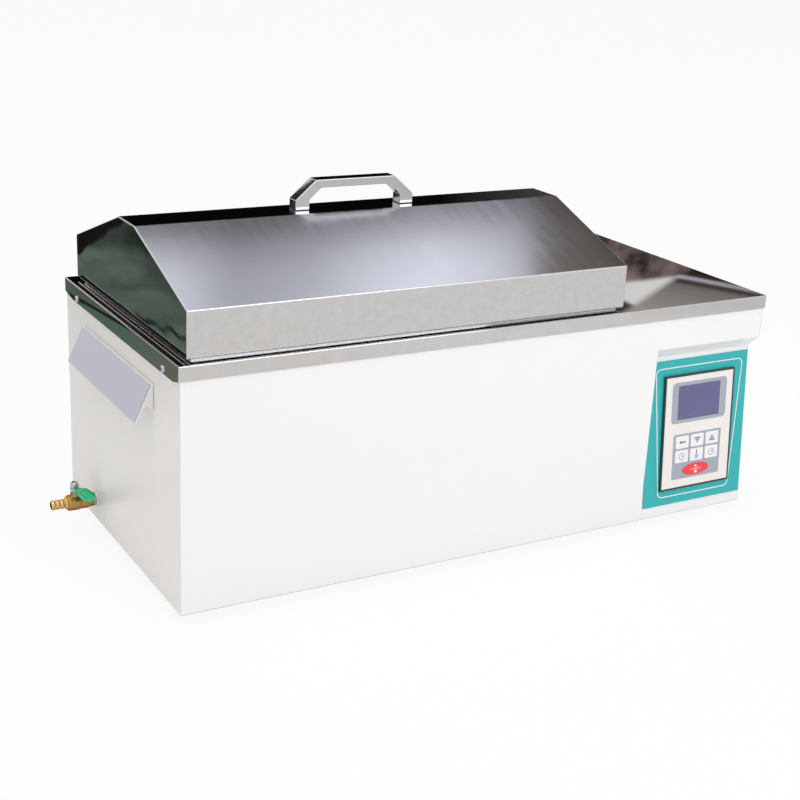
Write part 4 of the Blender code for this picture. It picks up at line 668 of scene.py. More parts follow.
# Pieces whose solid is right as it is
PLAIN = {
    "base_plate": "aluminium",
    "control_board": "board",
    "display_window": "display",
    "drain_pipe": "part_steel",
    "guide_rail_front": "chrome",
    "guide_rail_rear": "chrome",
    "heater_element": "part_steel",
    "heater_gland_front": "bright_brass",
    "heater_gland_rear": "bright_brass",
    "insulation_jacket": "wool",
    "temperature_probe": "part_steel",
    "valve_ball": "chrome",
    "valve_stem": "part_steel",
}

for node, (finish, fold, rim) in SOFTENED.items():
    softened(node, finish, fold, rim, SHEET_ANGLE if node in SHEET_PIECES else EDGE_ANGLE)
for node, finish in PLAIN.items():
    coat(frame["nodes"][node].data, finish)


# Flat outlines, and shapes cut or turned from them
CORNER_STEPS = 6
ELLIPSE_STEPS = 48
TURNED_STEPS = 32


def flat_points(*pairs):
    return [Vector(pair) for pair in pairs]


def rounded(corners, radius):
    """An outline with each corner turned into an arc."""
    outline = []
    before = corners[-1:] + corners[:-1]
    after = corners[1:] + corners[:1]
    for last, corner, following in zip(before, corners, after):
        into = (last - corner).normalized()
        out = (following - corner).normalized()
        half = into.angle(out) / 2
        centre = corner + (into + out).normalized() * (radius / sin(half))
        reach = radius / tan(half)
        start = (corner + into * reach - centre).normalized()
        end = (corner + out * reach - centre).normalized()
        shares = [step / CORNER_STEPS for step in range(CORNER_STEPS + 1)]
        outline += [centre + radius * start.slerp(end, share) for share in shares]
    return outline


def slab(width, height, middle=(0.0, 0.0), radius=None):
    """A rectangle about its middle, with round corners where a radius is given."""
    x, y = width / 2, height / 2
    corners = [Vector(middle) + Vector(corner) for corner in ((-x, -y), (x, -y), (x, y), (-x, y))]
    return rounded(corners, radius) if radius else corners


def ellipse(width, height, middle=(0.0, 0.0)):
    turns = [2 * pi * step / ELLIPSE_STEPS for step in range(ELLIPSE_STEPS)]
    return [Vector(middle) + Vector((width / 2 * cos(turn), height / 2 * sin(turn))) for turn in turns]


def weld(mesh):
    bm = bmesh.new()
    bm.from_mesh(mesh)
    bmesh.ops.remove_doubles(bm, verts=bm.verts[:], dist=WELD)
    bmesh.ops.recalc_face_normals(bm, faces=bm.faces[:])
    bm.to_mesh(mesh)
    bm.free()
    return mesh


def flat_shape(name, outlines, low, high):
    """A sheet cut to its outlines, where an outline inside another is a hole."""
    curve = bpy.data.curves.new(name, "CURVE")
    curve.dimensions = "2D"
    curve.fill_mode = "BOTH"
    curve.extrude = (high - low) / 2
    for outline in outlines:
        spline = curve.splines.new("POLY")
        spline.points.add(len(outline) - 1)
        for point, at in zip(spline.points, outline):
            point.co = (at.x, at.y, 0.0, 1.0)
        spline.use_cyclic_u = True
    holder = placed(name, curve)
    mesh = evaluated_mesh(holder)
    bpy.data.objects.remove(holder)
    bpy.data.curves.remove(curve)
    mesh.transform(Matrix.Translation((0.0, 0.0, (low + high) / 2)))
    return weld(mesh)


def edged(piece, radius):
    """Rounds the sharp edges of a cut sheet and makes it a plain mesh."""
    piece.data.shade_smooth()
    round_edges(piece, radius, False)
    return settle(piece)


def arc(middle, radius, start, end):
    """Points round a middle from one angle to another, in degrees."""
    turns = [radians(start + (end - start) * step / CORNER_STEPS) for step in range(CORNER_STEPS + 1)]
    return [Vector(middle) + radius * Vector((cos(turn), sin(turn))) for turn in turns]


def spun(name, profile):
    """A turned shape from its (radius, height) points."""
    bm = bmesh.new()
    points = [bm.verts.new((radius, 0.0, height)) for radius, height in profile]
    edges = [bm.edges.new(pair) for pair in zip(points, points[1:])]
    turn = {"cent": (0.0, 0.0, 0.0), "axis": (0.0, 0.0, 1.0), "angle": 2 * pi}
    bmesh.ops.spin(bm, geom=points + edges, steps=TURNED_STEPS, **turn)
    bmesh.ops.remove_doubles(bm, verts=bm.verts[:], dist=WELD)
    bmesh.ops.recalc_face_normals(bm, faces=bm.faces[:])
    return mesh_of(bm, name)


def together(name, *meshes):
    bm = bmesh.new()
    for mesh in meshes:
        bm.from_mesh(mesh)
    return mesh_of(bm, name)


# The control panel's prints, with places up the tilted panel and out of it
INK = 0.00006
INK_SINK = 0.00002
PANEL_LEAN = 0.0168
PANEL_RISE = 0.2028
PANEL_TILT = atan2(PANEL_LEAN, PANEL_RISE)
PANEL_FOOT = 0.014
PANEL_BACK = 0.0003
PANEL_FRONT = 0.0013
FACE_FRONT = 0.0046
KEY_FRONT = 0.0053
DISPLAY_SIZE = (0.066, 0.0432)
DISPLAY_UP = 0.1431
SURROUND_SIZE = (0.0856, 0.0517)
SURROUND_UP = 0.14355
SURROUND_CORNER = 0.0055
FIELD_SIZE = (0.0755, 0.0577)
FIELD_UP = 0.07465
FIELD_CORNER = 0.0022
KEY_SIZE = (0.0205, 0.016)
KEY_CORNER = 0.0016
KEY_DEPTH = 0.0042
KEY_EDGE = 0.0004
KEY_PITCH = 0.0235
KEY_ROWS = (0.0930, 0.0747)
KEYS = (("left", "down", "up"), ("timer", "temperature", "speed"))
RUN_SIZE = (0.0415, 0.015)
RUN_UP = 0.0559
PRINT_GAP = 0.0003
LINE_WIDTH = 0.0013
LINE_TOP = (0.0687, 0.189)
LINE_BOTTOM = (0.0562, 0.0236)
LINE_SHIFT = 0.0009
LINE_CORNER = 0.0075


def panel_frame():
    """The frame of the prints: x across, y up the tilted panel, z out of it."""
    low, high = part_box("control_panel")
    y = low.y - PANEL_FOOT * sin(PANEL_TILT) + PANEL_FRONT * cos(PANEL_TILT)
    z = low.z - PANEL_FOOT * cos(PANEL_TILT) - PANEL_BACK * sin(PANEL_TILT)
    return Matrix.Translation(((low.x + high.x) / 2, y, z)) @ Matrix.Rotation(pi / 2 - PANEL_TILT, 4, "X")


PANEL = panel_frame()


def print_on_panel(name, outlines, layer, finish, slot, body="base"):
    mesh = flat_shape(name, outlines, layer - INK_SINK, layer + INK)
    mesh.transform(PANEL)
    return dressed(show(name, mesh, finish), body, slot)


def border_outline(inset):
    """The tapering border line's outline, drawn in by an inset."""
    top_x, top_y = LINE_TOP
    foot_x, foot_y = LINE_BOTTOM
    corners = flat_points(
        (inset - foot_x, foot_y + inset),
        (foot_x - inset, foot_y + inset),
        (top_x - inset, top_y - inset),
        (inset - top_x, top_y - inset),
    )
    return [point + Vector((LINE_SHIFT, 0.0)) for point in rounded(corners, LINE_CORNER - inset)]


def key_places():
    """Each key's middle on the panel."""
    places = {}
    for row, up in zip(KEYS, KEY_ROWS):
        for column, key in enumerate(row):
            places[key] = ((column - 1) * KEY_PITCH, up)
    return places


def print_panel():
    """The border line on the plate, and the grey fields round the display and the keys."""
    border = [border_outline(0.0), border_outline(LINE_WIDTH)]
    print_on_panel("border_line", border, PANEL_FRONT, "white_ink", "white_key")
    gap = Vector((2 * PRINT_GAP, 2 * PRINT_GAP))
    window = slab(*(Vector(DISPLAY_SIZE) + gap), (0.0, DISPLAY_UP))
    surround = slab(*SURROUND_SIZE, (0.0, SURROUND_UP), SURROUND_CORNER)
    print_on_panel("display_surround", [surround, window], FACE_FRONT, "grey_ink", "grip_grey")
    field = [slab(*FIELD_SIZE, (0.0, FIELD_UP), FIELD_CORNER)]
    key_hole = Vector(KEY_SIZE) + gap
    field += [slab(*key_hole, place, KEY_CORNER + PRINT_GAP) for place in key_places().values()]
    field.append(ellipse(*(Vector(RUN_SIZE) + gap), (0.0, RUN_UP)))
    print_on_panel("keypad_field", field, FACE_FRONT, "grey_ink", "grip_grey")


def cap_keys():
    """Key caps with round corners, each in place of its square solid."""
    for key, place in key_places().items():
        outline = slab(*KEY_SIZE, place, KEY_CORNER)
        mesh = flat_shape(f"{key}_cap", [outline], KEY_FRONT - KEY_DEPTH, KEY_FRONT)
        mesh.transform(PANEL)
        piece = edged(show(f"{key}_cap", mesh, "key"), KEY_EDGE)
        dressed(piece, f"{key}_key", "white_key", f"key_{key}")


# Marks, drawn in millimetres about the middle of what they are printed on
MILLIMETRE = 0.001


def arrow_mark():
    """An arrow to the left."""
    upper = [(-5.2, 0.0), (-1.8, 2.1), (-1.8, 0.8), (5.2, 0.8)]
    lower = [(5.2, -0.8), (-1.8, -0.8), (-1.8, -2.1)]
    return [flat_points(*upper, *lower)]


def stacked_mark(sign):
    """Bars that narrow to a tip, down for 1 and up for -1."""
    bars = [slab(9.4, 1.5, (0, 3.0 * sign)), slab(6.0, 1.5, (0, 0.6 * sign))]
    return bars + [flat_points((-1.9, -1.0 * sign), (1.9, -1.0 * sign), (0, -3.8 * sign))]


def ring_mark(outside, wide, middle=(0.0, 0.0)):
    return [ellipse(outside, outside, middle), ellipse(outside - 2 * wide, outside - 2 * wide, middle)]


def clock_mark():
    return ring_mark(8.8, 0.6) + [slab(0.7, 2.8, (0, 1.5)), slab(2.2, 0.7, (1.5, 0))]


def thermometer_mark():
    return ring_mark(5.2, 0.8, (0, -2.6)) + [slab(1.5, 5.4, (0, 3.0), 0.6), ellipse(1.8, 1.8, (0, -2.6))]


def turning_mark():
    """A ring with an arrowhead, for the speed of shaking."""
    return ring_mark(8.8, 0.6) + [flat_points((-0.4, 0.5), (2.2, 2.4), (1.9, -0.9))]


MARKS = {
    "left": arrow_mark(),
    "down": stacked_mark(1),
    "up": stacked_mark(-1),
    "timer": clock_mark(),
    "temperature": thermometer_mark(),
    "speed": turning_mark(),
}
RUN_MARKS = [
    slab(17.0, 0.6),
    flat_points((-1.7, 1.5), (2.3, 3.6), (-1.7, 5.7)),
    slab(3.9, 3.6, (0, -3.7)),
]


def in_metres(outlines, place):
    """Marks brought to their place."""
    return [[point * MILLIMETRE + Vector(place) for point in outline] for outline in outlines]


def print_keys():
    """Plain signs on the keys, each of which moves with its key."""
    for key, place in key_places().items():
        mark = in_metres(MARKS[key], place)
        print_on_panel(f"{key}_mark", mark, KEY_FRONT, "blue_ink", "display_glass", f"{key}_key")
    mark = in_metres(RUN_MARKS, (0.0, RUN_UP))
    print_on_panel("run_stop_mark", mark, KEY_FRONT, "white_ink", "white_key", "run_stop_key")


print_panel()
cap_keys()
print_keys()


# The drain cock's lever and its nut
LEVER_ANGLE = radians(-65.0)
LEVER_SHEET = 0.0024
LEVER_HALF = 0.00825
LEVER_BEND = 0.0115
LEVER_REACH = 0.0303
LEVER_FALL = 0.0060
LEVER_BLADE = Vector((LEVER_REACH - LEVER_BEND, LEVER_FALL)).length
LEVER_SHOULDER = 0.0078
LEVER_SHOULDER_CORNER = 0.0022
LEVER_CORNER = 0.0065
LEVER_ROOT = 0.0044
LEVER_EDGE = 0.0008
LEVER_RIM = 0.0021
LEVER_RIM_PROUD = 0.0009
LEVER_RIM_OUT = 0.0003
NUT_RADIUS = 0.0054
NUT_HEIGHT = 0.0034
NUT_EDGE = 0.0003
SKIRT_GAP = 0.0001
SKIRT_HEIGHT = 0.0025
CAP_RADIUS = 0.0046
CAP_FLAT = 0.0029
CAP_SHOULDER = 0.0017


def stem_frame(height):
    """The stem's axis at a height, with x along the lever."""
    middle = middle_of("valve_stem")
    return Matrix.Translation((middle.x, middle.y, height)) @ Matrix.Rotation(LEVER_ANGLE, 4, "Z")


def bent_down():
    """Turns the lever's blade down about its bend."""
    slope = atan2(LEVER_FALL, LEVER_REACH - LEVER_BEND)
    back = Matrix.Translation((-LEVER_BEND, 0.0, 0.0))
    return Matrix.Translation((LEVER_BEND, 0.0, 0.0)) @ Matrix.Rotation(slope, 4, "Y") @ back


def lever_plate():
    """A narrow root and a wide blade with round corners, cut from one sheet and bent."""
    far = LEVER_BEND + LEVER_BLADE - LEVER_CORNER
    near = LEVER_SHOULDER + LEVER_SHOULDER_CORNER
    wide = LEVER_HALF - LEVER_CORNER
    inner = LEVER_HALF - LEVER_SHOULDER_CORNER
    outline = arc((0.0, 0.0), LEVER_ROOT, 60, 300)
    outline += arc((near, -inner), LEVER_SHOULDER_CORNER, 180, 270)
    outline += arc((far, -wide), LEVER_CORNER, -90, 0)
    outline += arc((far, wide), LEVER_CORNER, 0, 90)
    outline += arc((near, inner), LEVER_SHOULDER_CORNER, 90, 180)
    mesh = flat_shape("valve_lever_plate", [outline], -LEVER_SHEET, 0.0)
    bm = bmesh.new()
    bm.from_mesh(mesh)
    crease = Vector((LEVER_BEND, 0.0, 0.0))
    everything = bm.verts[:] + bm.edges[:] + bm.faces[:]
    bmesh.ops.bisect_plane(bm, geom=everything, plane_co=crease, plane_no=(1.0, 0.0, 0.0), dist=WELD)
    moving = [point for point in bm.verts if point.co.x > LEVER_BEND + WELD]
    bmesh.ops.transform(bm, matrix=bent_down(), verts=moving)
    return mesh_of(bm, "valve_lever_plate")


def lever_rim():
    """The thick border that the dip leaves round the blade, painted a lighter green as a highlight."""
    long = LEVER_BLADE + 2 * LEVER_RIM_OUT
    wide = 2 * (LEVER_HALF + LEVER_RIM_OUT)
    middle = (LEVER_BEND - LEVER_RIM_OUT + long / 2, 0.0)
    corner = LEVER_CORNER + LEVER_RIM_OUT
    outside = slab(long, wide, middle, corner)
    inside = slab(long - 2 * LEVER_RIM, wide - 2 * LEVER_RIM, middle, corner - LEVER_RIM)
    low = -LEVER_SHEET - LEVER_RIM_PROUD / 2
    mesh = flat_shape("valve_lever_rim", [outside, inside], low, LEVER_RIM_PROUD)
    mesh.transform(bent_down())
    return mesh


def fit_lever():
    """The dipped lever: a bent plate, and the dip's rim round its blade in a lighter green that is a painted
    highlight.
    """
    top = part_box("valve_lever")[1].z
    body = BODY_OF["valve_lever"]
    plates = ((lever_plate(), "green_dip", ["valve_lever"]), (lever_rim(), "green_rim_highlight", []))
    for mesh, finish, nodes in plates:
        mesh.transform(stem_frame(top))
        piece = edged(show(f"{mesh.name}_dip", mesh, finish), LEVER_EDGE)
        dressed(piece, body, SLOT_OF["valve_lever"], *nodes)


def fit_lever_nut():
    """A bright nut with a round-shouldered flat cap."""
    low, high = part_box("lever_nut")
    outline = [NUT_RADIUS * Vector((cos(step * pi / 3), sin(step * pi / 3))) for step in range(6)]
    hexagon = flat_shape("lever_nut_hexagon", [outline], 0.0, NUT_HEIGHT)
    top = high.z - low.z
    turns = [pi / 2 * step / CORNER_STEPS for step in range(CORNER_STEPS + 1)]
    shoulder = CAP_RADIUS - CAP_FLAT
    profile = [(0.0, top)]
    profile += [(CAP_FLAT + shoulder * sin(turn), top - CAP_SHOULDER * (1 - cos(turn))) for turn in turns]
    profile += [(CAP_RADIUS, NUT_HEIGHT / 2), (0.0, NUT_HEIGHT / 2)]
    skirt = [(NUT_RADIUS, -SKIRT_GAP), (NUT_RADIUS, -SKIRT_HEIGHT), (0.0, -SKIRT_HEIGHT)]
    washer = spun("lever_washer", [(0.0, -SKIRT_GAP)] + skirt)
    mesh = together("lever_nut_cap", hexagon, spun("lever_cap", profile), washer)
    mesh.transform(stem_frame(low.z))
    standing_for(edged(show("lever_nut_cap", mesh, "chrome"), NUT_EDGE), "lever_nut")


# The hose barb
BARB_BORE = 0.0036
BARB_NECK = 0.0046
BARB_RADIUS = 0.0058
BARB_RIDGES = 3
BARB_CONE = 0.0034
BARB_FLANGE = 0.00085
BARB_ROOT = 0.0078
BARB_FULLNESS = 0.7
BARB_STEPS = 10
BARB_EDGE = 0.0002


def outward_from(x):
    """The drain's axis from a place on it, with z to the left, away from the casing."""
    middle = middle_of("hose_barb")
    return Matrix.Translation((x, middle.y, middle.z)) @ Matrix.Rotation(-pi / 2, 4, "Y")


def fit_barb():
    """Round ridges over a plain bore, with a cone where they meet the cock's body."""
    low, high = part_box("hose_barb")
    long = high.x - low.x
    ridged = long - BARB_CONE
    profile = [(BARB_BORE, 0.0), (BARB_ROOT, 0.0), (BARB_ROOT, BARB_FLANGE)]
    for step in range(BARB_RIDGES * BARB_STEPS + 1):
        share = step / (BARB_RIDGES * BARB_STEPS)
        swell = abs(sin(pi * BARB_RIDGES * share)) ** BARB_FULLNESS
        profile.append((BARB_NECK + (BARB_RADIUS - BARB_NECK) * swell, BARB_CONE + ridged * share))
    profile += [(BARB_BORE, long), (BARB_BORE, 0.0)]
    mesh = spun("hose_barb_ridges", profile)
    mesh.transform(outward_from(high.x))
    standing_for(edged(show("hose_barb_ridges", mesh, "bright_brass"), BARB_EDGE), "hose_barb")


# The seal where the drain passes the wall
SEAL_RADIUS = 0.0098
SEAL_BORE = 0.0071
SEAL_PROUD = 0.0026
SEAL_EDGE = 0.0008


def fit_drain_seal():
    """A soft ring round the drain pipe that closes its hole in the wall."""
    back = [(SEAL_BORE, 0.0), (SEAL_RADIUS, 0.0)]
    front = [(SEAL_RADIUS - SEAL_EDGE, SEAL_PROUD), (SEAL_BORE, SEAL_PROUD)]
    mesh = spun("drain_seal", back + front + back[:1])
    mesh.transform(outward_from(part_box("casing")[0].x))
    dressed(edged(show("drain_seal", mesh, "silicone"), SEAL_EDGE), BODY_OF["casing"], "white_enamel")


fit_lever()
fit_lever_nut()
fit_barb()
fit_drain_seal()


# The power rocker's marks, whose ring and line are in millimetres
ROCKER_TILT = radians(9.0)
ROCKER_FACE = 0.0030
ROCKER_MARK_UP = 0.0052
ROCKER_RING = 4.2
ROCKER_LINE = 0.7


def mark_rocker():
    """A bar for on and a ring for off."""
    bar = in_metres([slab(ROCKER_LINE, ROCKER_RING)], (0.0, -ROCKER_MARK_UP))
    ring = in_metres(ring_mark(ROCKER_RING, ROCKER_LINE), (0.0, ROCKER_MARK_UP))
    mesh = flat_shape("rocker_marks", bar + ring, ROCKER_FACE - INK_SINK, ROCKER_FACE + INK)
    lie = Matrix.Rotation(ROCKER_TILT - pi / 2, 4, "X")
    mesh.transform(Matrix.Translation(middle_of("power_rocker")) @ lie)
    dressed(show("rocker_marks", mesh, "white_ink"), BODY_OF["power_rocker"], "white_key")


mark_rocker()


# Screws, set in their places by a node tree
SCREW_SIZES = {
    "Head Radius": 0.0038,
    "Dome": 0.0021,
    "Slot": 0.0009,
    "Shank Radius": 0.0019,
    "Shank Length": 0.0060,
}
SCREW_SMOOTH = radians(35.0)
SHANK_LAP = 0.0004
DECK_SEED = 3
REAR_SEED = 8
RETURN_MIDDLE = 0.0075
REAR_HEIGHTS = (0.050, 0.145, 0.240)
REAR_STEPS = 5

# The cross recess's length in head radii
SLOT_SPAN = 1.15


def xyz(tree, x, y, z):
    return add(tree, "ShaderNodeCombineXYZ", X=x, Y=y, Z=z).outputs[0]


def shifted(tree, shape, **moves):
    return add(tree, "GeometryNodeTransform", Geometry=shape, **moves).outputs[0]


def cross_head(tree, given):
    """A domed head with a cross recess, on its flat underside."""
    radius, dome = given["Head Radius"], given["Dome"]
    ball = add(tree, "GeometryNodeMeshUVSphere", Segments=24, Rings=16, Radius=1.0).outputs["Mesh"]
    head = shifted(tree, ball, Scale=xyz(tree, radius, radius, dome))
    wide = times(tree, radius, 4.0)
    block = add(tree, "GeometryNodeMeshCube", Size=xyz(tree, wide, wide, wide)).outputs["Mesh"]
    under = shifted(tree, block, Translation=xyz(tree, 0.0, 0.0, times(tree, radius, -2.0)))
    long = times(tree, radius, SLOT_SPAN)
    bar = add(tree, "GeometryNodeMeshCube", Size=xyz(tree, long, given["Slot"], dome)).outputs["Mesh"]
    slot = shifted(tree, bar, Translation=xyz(tree, 0.0, 0.0, dome))
    across = shifted(tree, slot, Rotation=(0.0, 0.0, pi / 2))
    recessed = add(tree, "GeometryNodeMeshBoolean", {"operation": "DIFFERENCE"})
    feed(tree, recessed.inputs["Mesh 1"], head)
    for cutter in (under, slot, across):
        feed(tree, recessed.inputs["Mesh 2"], cutter)
    return recessed.outputs["Mesh"]


def smoothed(tree, shape):
    """Smooth faces between sharp edges."""
    smooth = add(tree, "GeometryNodeSetShadeSmooth", {"domain": "FACE"})
    feed(tree, smooth.inputs[0], shape)
    angle = add(tree, "GeometryNodeInputMeshEdgeAngle").outputs["Unsigned Angle"]
    sharp = add(tree, "GeometryNodeSetShadeSmooth", {"domain": "EDGE"}, Shade_Smooth=False)
    feed(tree, sharp.inputs[0], smooth.outputs[0])
    feed(tree, sharp.inputs["Selection"], maths(tree, "GREATER_THAN", angle, SCREW_SMOOTH))
    return sharp.outputs[0]


def make_screw_tree():
    """Stands a screw on each place, along the place's own direction and turned at random about it."""
    tree = bpy.data.node_groups.new("Screws in places", "GeometryNodeTree")
    new_socket(tree, "Places", "INPUT", "NodeSocketGeometry")
    for label in SCREW_SIZES:
        new_socket(tree, label, "INPUT", "NodeSocketFloat")
    new_socket(tree, "Seed", "INPUT", "NodeSocketInt")
    new_socket(tree, "Finish", "INPUT", "NodeSocketMaterial")
    new_socket(tree, "Screws", "OUTPUT", "NodeSocketGeometry")
    given = add(tree, "NodeGroupInput").outputs
    radius, long = given["Shank Radius"], given["Shank Length"]
    shank = add(tree, "GeometryNodeMeshCylinder", Vertices=12, Radius=radius, Depth=long).outputs["Mesh"]
    sunk = maths(tree, "SUBTRACT", SHANK_LAP, maths(tree, "DIVIDE", long, 2.0))
    whole = add(tree, "GeometryNodeJoinGeometry")
    feed(tree, whole.inputs[0], smoothed(tree, cross_head(tree, given)))
    feed(tree, whole.inputs[0], shifted(tree, shank, Translation=xyz(tree, 0.0, 0.0, sunk)))
    out = add(tree, "GeometryNodeInputNamedAttribute", {"data_type": "FLOAT_VECTOR"}, Name="out").outputs[0]
    upright = add(tree, "FunctionNodeAlignRotationToVector", {"axis": "Z"}, Vector=out).outputs[0]
    chance = add(tree, "FunctionNodeRandomValue", {"data_type": "FLOAT"}, Seed=given["Seed"]).outputs[1]
    turn = times(tree, chance, pi)
    about = add(tree, "FunctionNodeAxisAngleToRotation", Axis=(0.0, 0.0, 1.0), Angle=turn).outputs[0]
    settings = {"rotation_space": "LOCAL"}
    turned = add(tree, "FunctionNodeRotateRotation", settings, Rotation=upright, Rotate_By=about).outputs[0]
    points = add(tree, "GeometryNodeMeshToPoints", Mesh=given["Places"]).outputs[0]
    inputs = {"Points": points, "Instance": whole.outputs[0], "Rotation": turned}
    stood = add(tree, "GeometryNodeInstanceOnPoints", **inputs).outputs[0]
    real = add(tree, "GeometryNodeRealizeInstances", Geometry=stood).outputs[0]
    coated = add(tree, "GeometryNodeSetMaterial", Geometry=real, Material=given["Finish"]).outputs[0]
    add(tree, "NodeGroupOutput", Screws=coated)
    return tree


SCREWS = make_screw_tree()


def set_screws(name, places, seed, body, slot, *nodes):
    """Screws at pairs of a place and the direction that the head faces, as one piece."""
    mesh = bpy.data.meshes.new(name)
    mesh.from_pydata([at for at, out in places], [], [])
    ways = mesh.attributes.new("out", "FLOAT_VECTOR", "POINT")
    for way, (at, out) in zip(ways.data, places):
        way.vector = out
    piece = placed(name, mesh)
    screws = piece.modifiers.new("screws", "NODES")
    screws.node_group = SCREWS
    values = {**SCREW_SIZES, "Seed": seed, "Finish": FINISH["chrome"]}
    for socket in SCREWS.interface.items_tree:
        if socket.in_out == "INPUT" and socket.name in values:
            screws[socket.identifier] = values[socket.name]
    return dressed(settle(piece), body, slot, *nodes)


def set_deck_screws():
    """The screws that hold the deck's end flanges to the casing."""
    low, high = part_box("deck")
    nodes = [f"deck_screw_{row}_{side}" for row in ("front", "rear") for side in ("left", "right")]
    places = []
    for node in nodes:
        middle = middle_of(node)
        x, way = (low.x, -1.0) if node.endswith("left") else (high.x, 1.0)
        places.append(((x, middle.y, middle.z), (way, 0.0, 0.0)))
    set_screws("deck_screw_heads", places, DECK_SEED, "base", SLOT_OF[nodes[0]], *nodes)


def set_rear_screws():
    """The screws that hold the rear panel behind the casing's returns."""
    low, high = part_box("casing")
    left, right = low.x + RETURN_MIDDLE, high.x - RETURN_MIDDLE
    spots = [(x, z) for x in (left, right) for z in REAR_HEIGHTS]
    pitch = (right - left) / REAR_STEPS
    spots += [(left + pitch * step, low.z + RETURN_MIDDLE) for step in range(1, REAR_STEPS)]
    places = [((x, high.y, z), (0.0, 1.0, 0.0)) for x, z in spots]
    set_screws("rear_screw_heads", places, REAR_SEED, "base", "chrome")


set_deck_screws()
set_rear_screws()


# The stage
FLOOR_SIZE = 60.0
FLOOR_GREY = 0.86
ROOM_LIGHT = 0.64
PALE = 1.0
WHITE = (1.0, 1.0, 1.0, 1.0)
SEEN_SHARE = 0.9
WARM = (1.03, 0.988, 0.955, 1.0)
COOL = (0.90, 0.945, 1.05)
SUN = (1.0, 0.972, 0.94)


def seen_rays(tree):
    """1 for rays from the camera, a mirror or glass, 0 for light that falls on things."""
    path = add(tree, "ShaderNodeLightPath").outputs
    both = plus(tree, path["Is Camera Ray"], path["Is Glossy Ray"])
    return maths(tree, "ADD", both, path["Is Transmission Ray"], clamp=True)


def blended(tree, share, first, second):
    """The first shader where share is 0, the second where it is 1."""
    node = add(tree, "ShaderNodeMixShader", Fac=share)
    feed(tree, node.inputs[1], first)
    feed(tree, node.inputs[2], second)
    return node.outputs[0]


def light_the_room():
    """Even pale light all round, which is seen as the pale backdrop."""
    world = bpy.data.worlds.new("studio")
    world.use_nodes = True
    bpy.context.scene.world = world
    tree = world.node_tree
    tree.nodes.clear()
    fall = add(tree, "ShaderNodeBackground", Color=WARM, Strength=ROOM_LIGHT).outputs[0]
    seen = add(tree, "ShaderNodeBackground", Color=WHITE, Strength=PALE).outputs[0]
    room = blended(tree, seen_rays(tree), fall, seen)
    add(tree, "ShaderNodeOutputWorld", Surface=room)


def square(name, size):
    bm = bmesh.new()
    bmesh.ops.create_grid(bm, x_segments=1, y_segments=1, size=size / 2)
    return mesh_of(bm, name)


def lay_floor():
    """A wide pale floor that keeps the object's shadow."""
    floor = placed("floor", square("floor", FLOOR_SIZE))
    material, tree, shader = new_finish("floor_paper")
    set_inputs(tree, shader, Base_Color=grey(FLOOR_GREY), Roughness=1.0, Specular_IOR_Level=0.0)
    pale = add(tree, "ShaderNodeEmission", Color=WHITE, Strength=PALE).outputs[0]
    paper = blended(tree, times(tree, seen_rays(tree), SEEN_SHARE), shader.outputs[0], pale)
    set_inputs(tree, tree.nodes["Material Output"], Surface=paper)
    floor.data.materials.append(material)


def hang_card(name, middle, size, turn, paint, strength=1.0):
    """A card that only mirror images show. It casts no shade and no light on matt surfaces."""
    mesh = square(name, 1.0)
    mesh.transform(Matrix.LocRotScale(Vector(middle), Matrix.Rotation(turn, 3, "X"), Vector((*size, 1.0))))
    card = placed(name, mesh)
    material = bpy.data.materials.new(name)
    material.use_nodes = True
    tree = material.node_tree
    tree.nodes.clear()
    glow = add(tree, "ShaderNodeEmission", Color=paint(tree), Strength=strength).outputs[0]
    add(tree, "ShaderNodeOutputMaterial", Surface=glow)
    mesh.materials.append(material)
    card.visible_camera = False
    card.visible_diffuse = False
    card.visible_shadow = False
    card.visible_transmission = False


def along(tree, axis, low, high, other="Y", lean=0.0):
    """0 at low and 1 at high along an axis, which may lean with the place along another one."""
    place = parts_of(tree, place_of(tree))
    return between(tree, plus(tree, place[axis], times(tree, place[other], lean)), low, high)


PATCH_CONTRAST = (0.32, 0.68)


def patches_of(tree, size, detail=4.0):
    """Noise of a size, spread into patches of 0 and 1."""
    return between(tree, noise_at(tree, place_of(tree), size, detail), *PATCH_CONTRAST)


def shades(tint, *levels):
    """Stops of one tint, each given by its place and its level."""
    return [(place, grey(level, tint)) for place, level in levels]


NEUTRAL = (1.0, 1.0, 1.0)
SKY = (0.93, 0.96, 1.12)
EARTH = (1.12, 1.0, 0.94)
LEAF = (0.93, 1.05, 0.93)
LILAC = (1.02, 0.94, 1.12)
OLIVE = (0.19, 0.19, 0.15, 1.0)
MOSS = (0.11, 0.17, 0.135, 1.0)


def ceiling_paint(tree):
    """A soft light panel over the lid, with a dim corner at its left and an unlit stretch at its right."""
    stops = shades(SKY, (0.00, 0.95), (0.16, 0.46), (0.30, 0.55), (0.45, 0.82))
    stops += shades(SKY, (0.58, 0.96), (0.70, 0.78), (0.79, 0.58))
    stops += shades(EARTH, (0.82, 0.16), (1.00, 0.07))
    lit = ramp(tree, along(tree, "X", -0.195, 0.805, "Y", -0.39), stops)
    fading = shades(NEUTRAL, (0.0, 0.0), (0.38, 0.05), (0.72, 0.80), (1.0, 0.97))
    return mixed(tree, ramp(tree, along(tree, "Y", 0.40, 0.64), fading), lit, grey(0.05, EARTH))


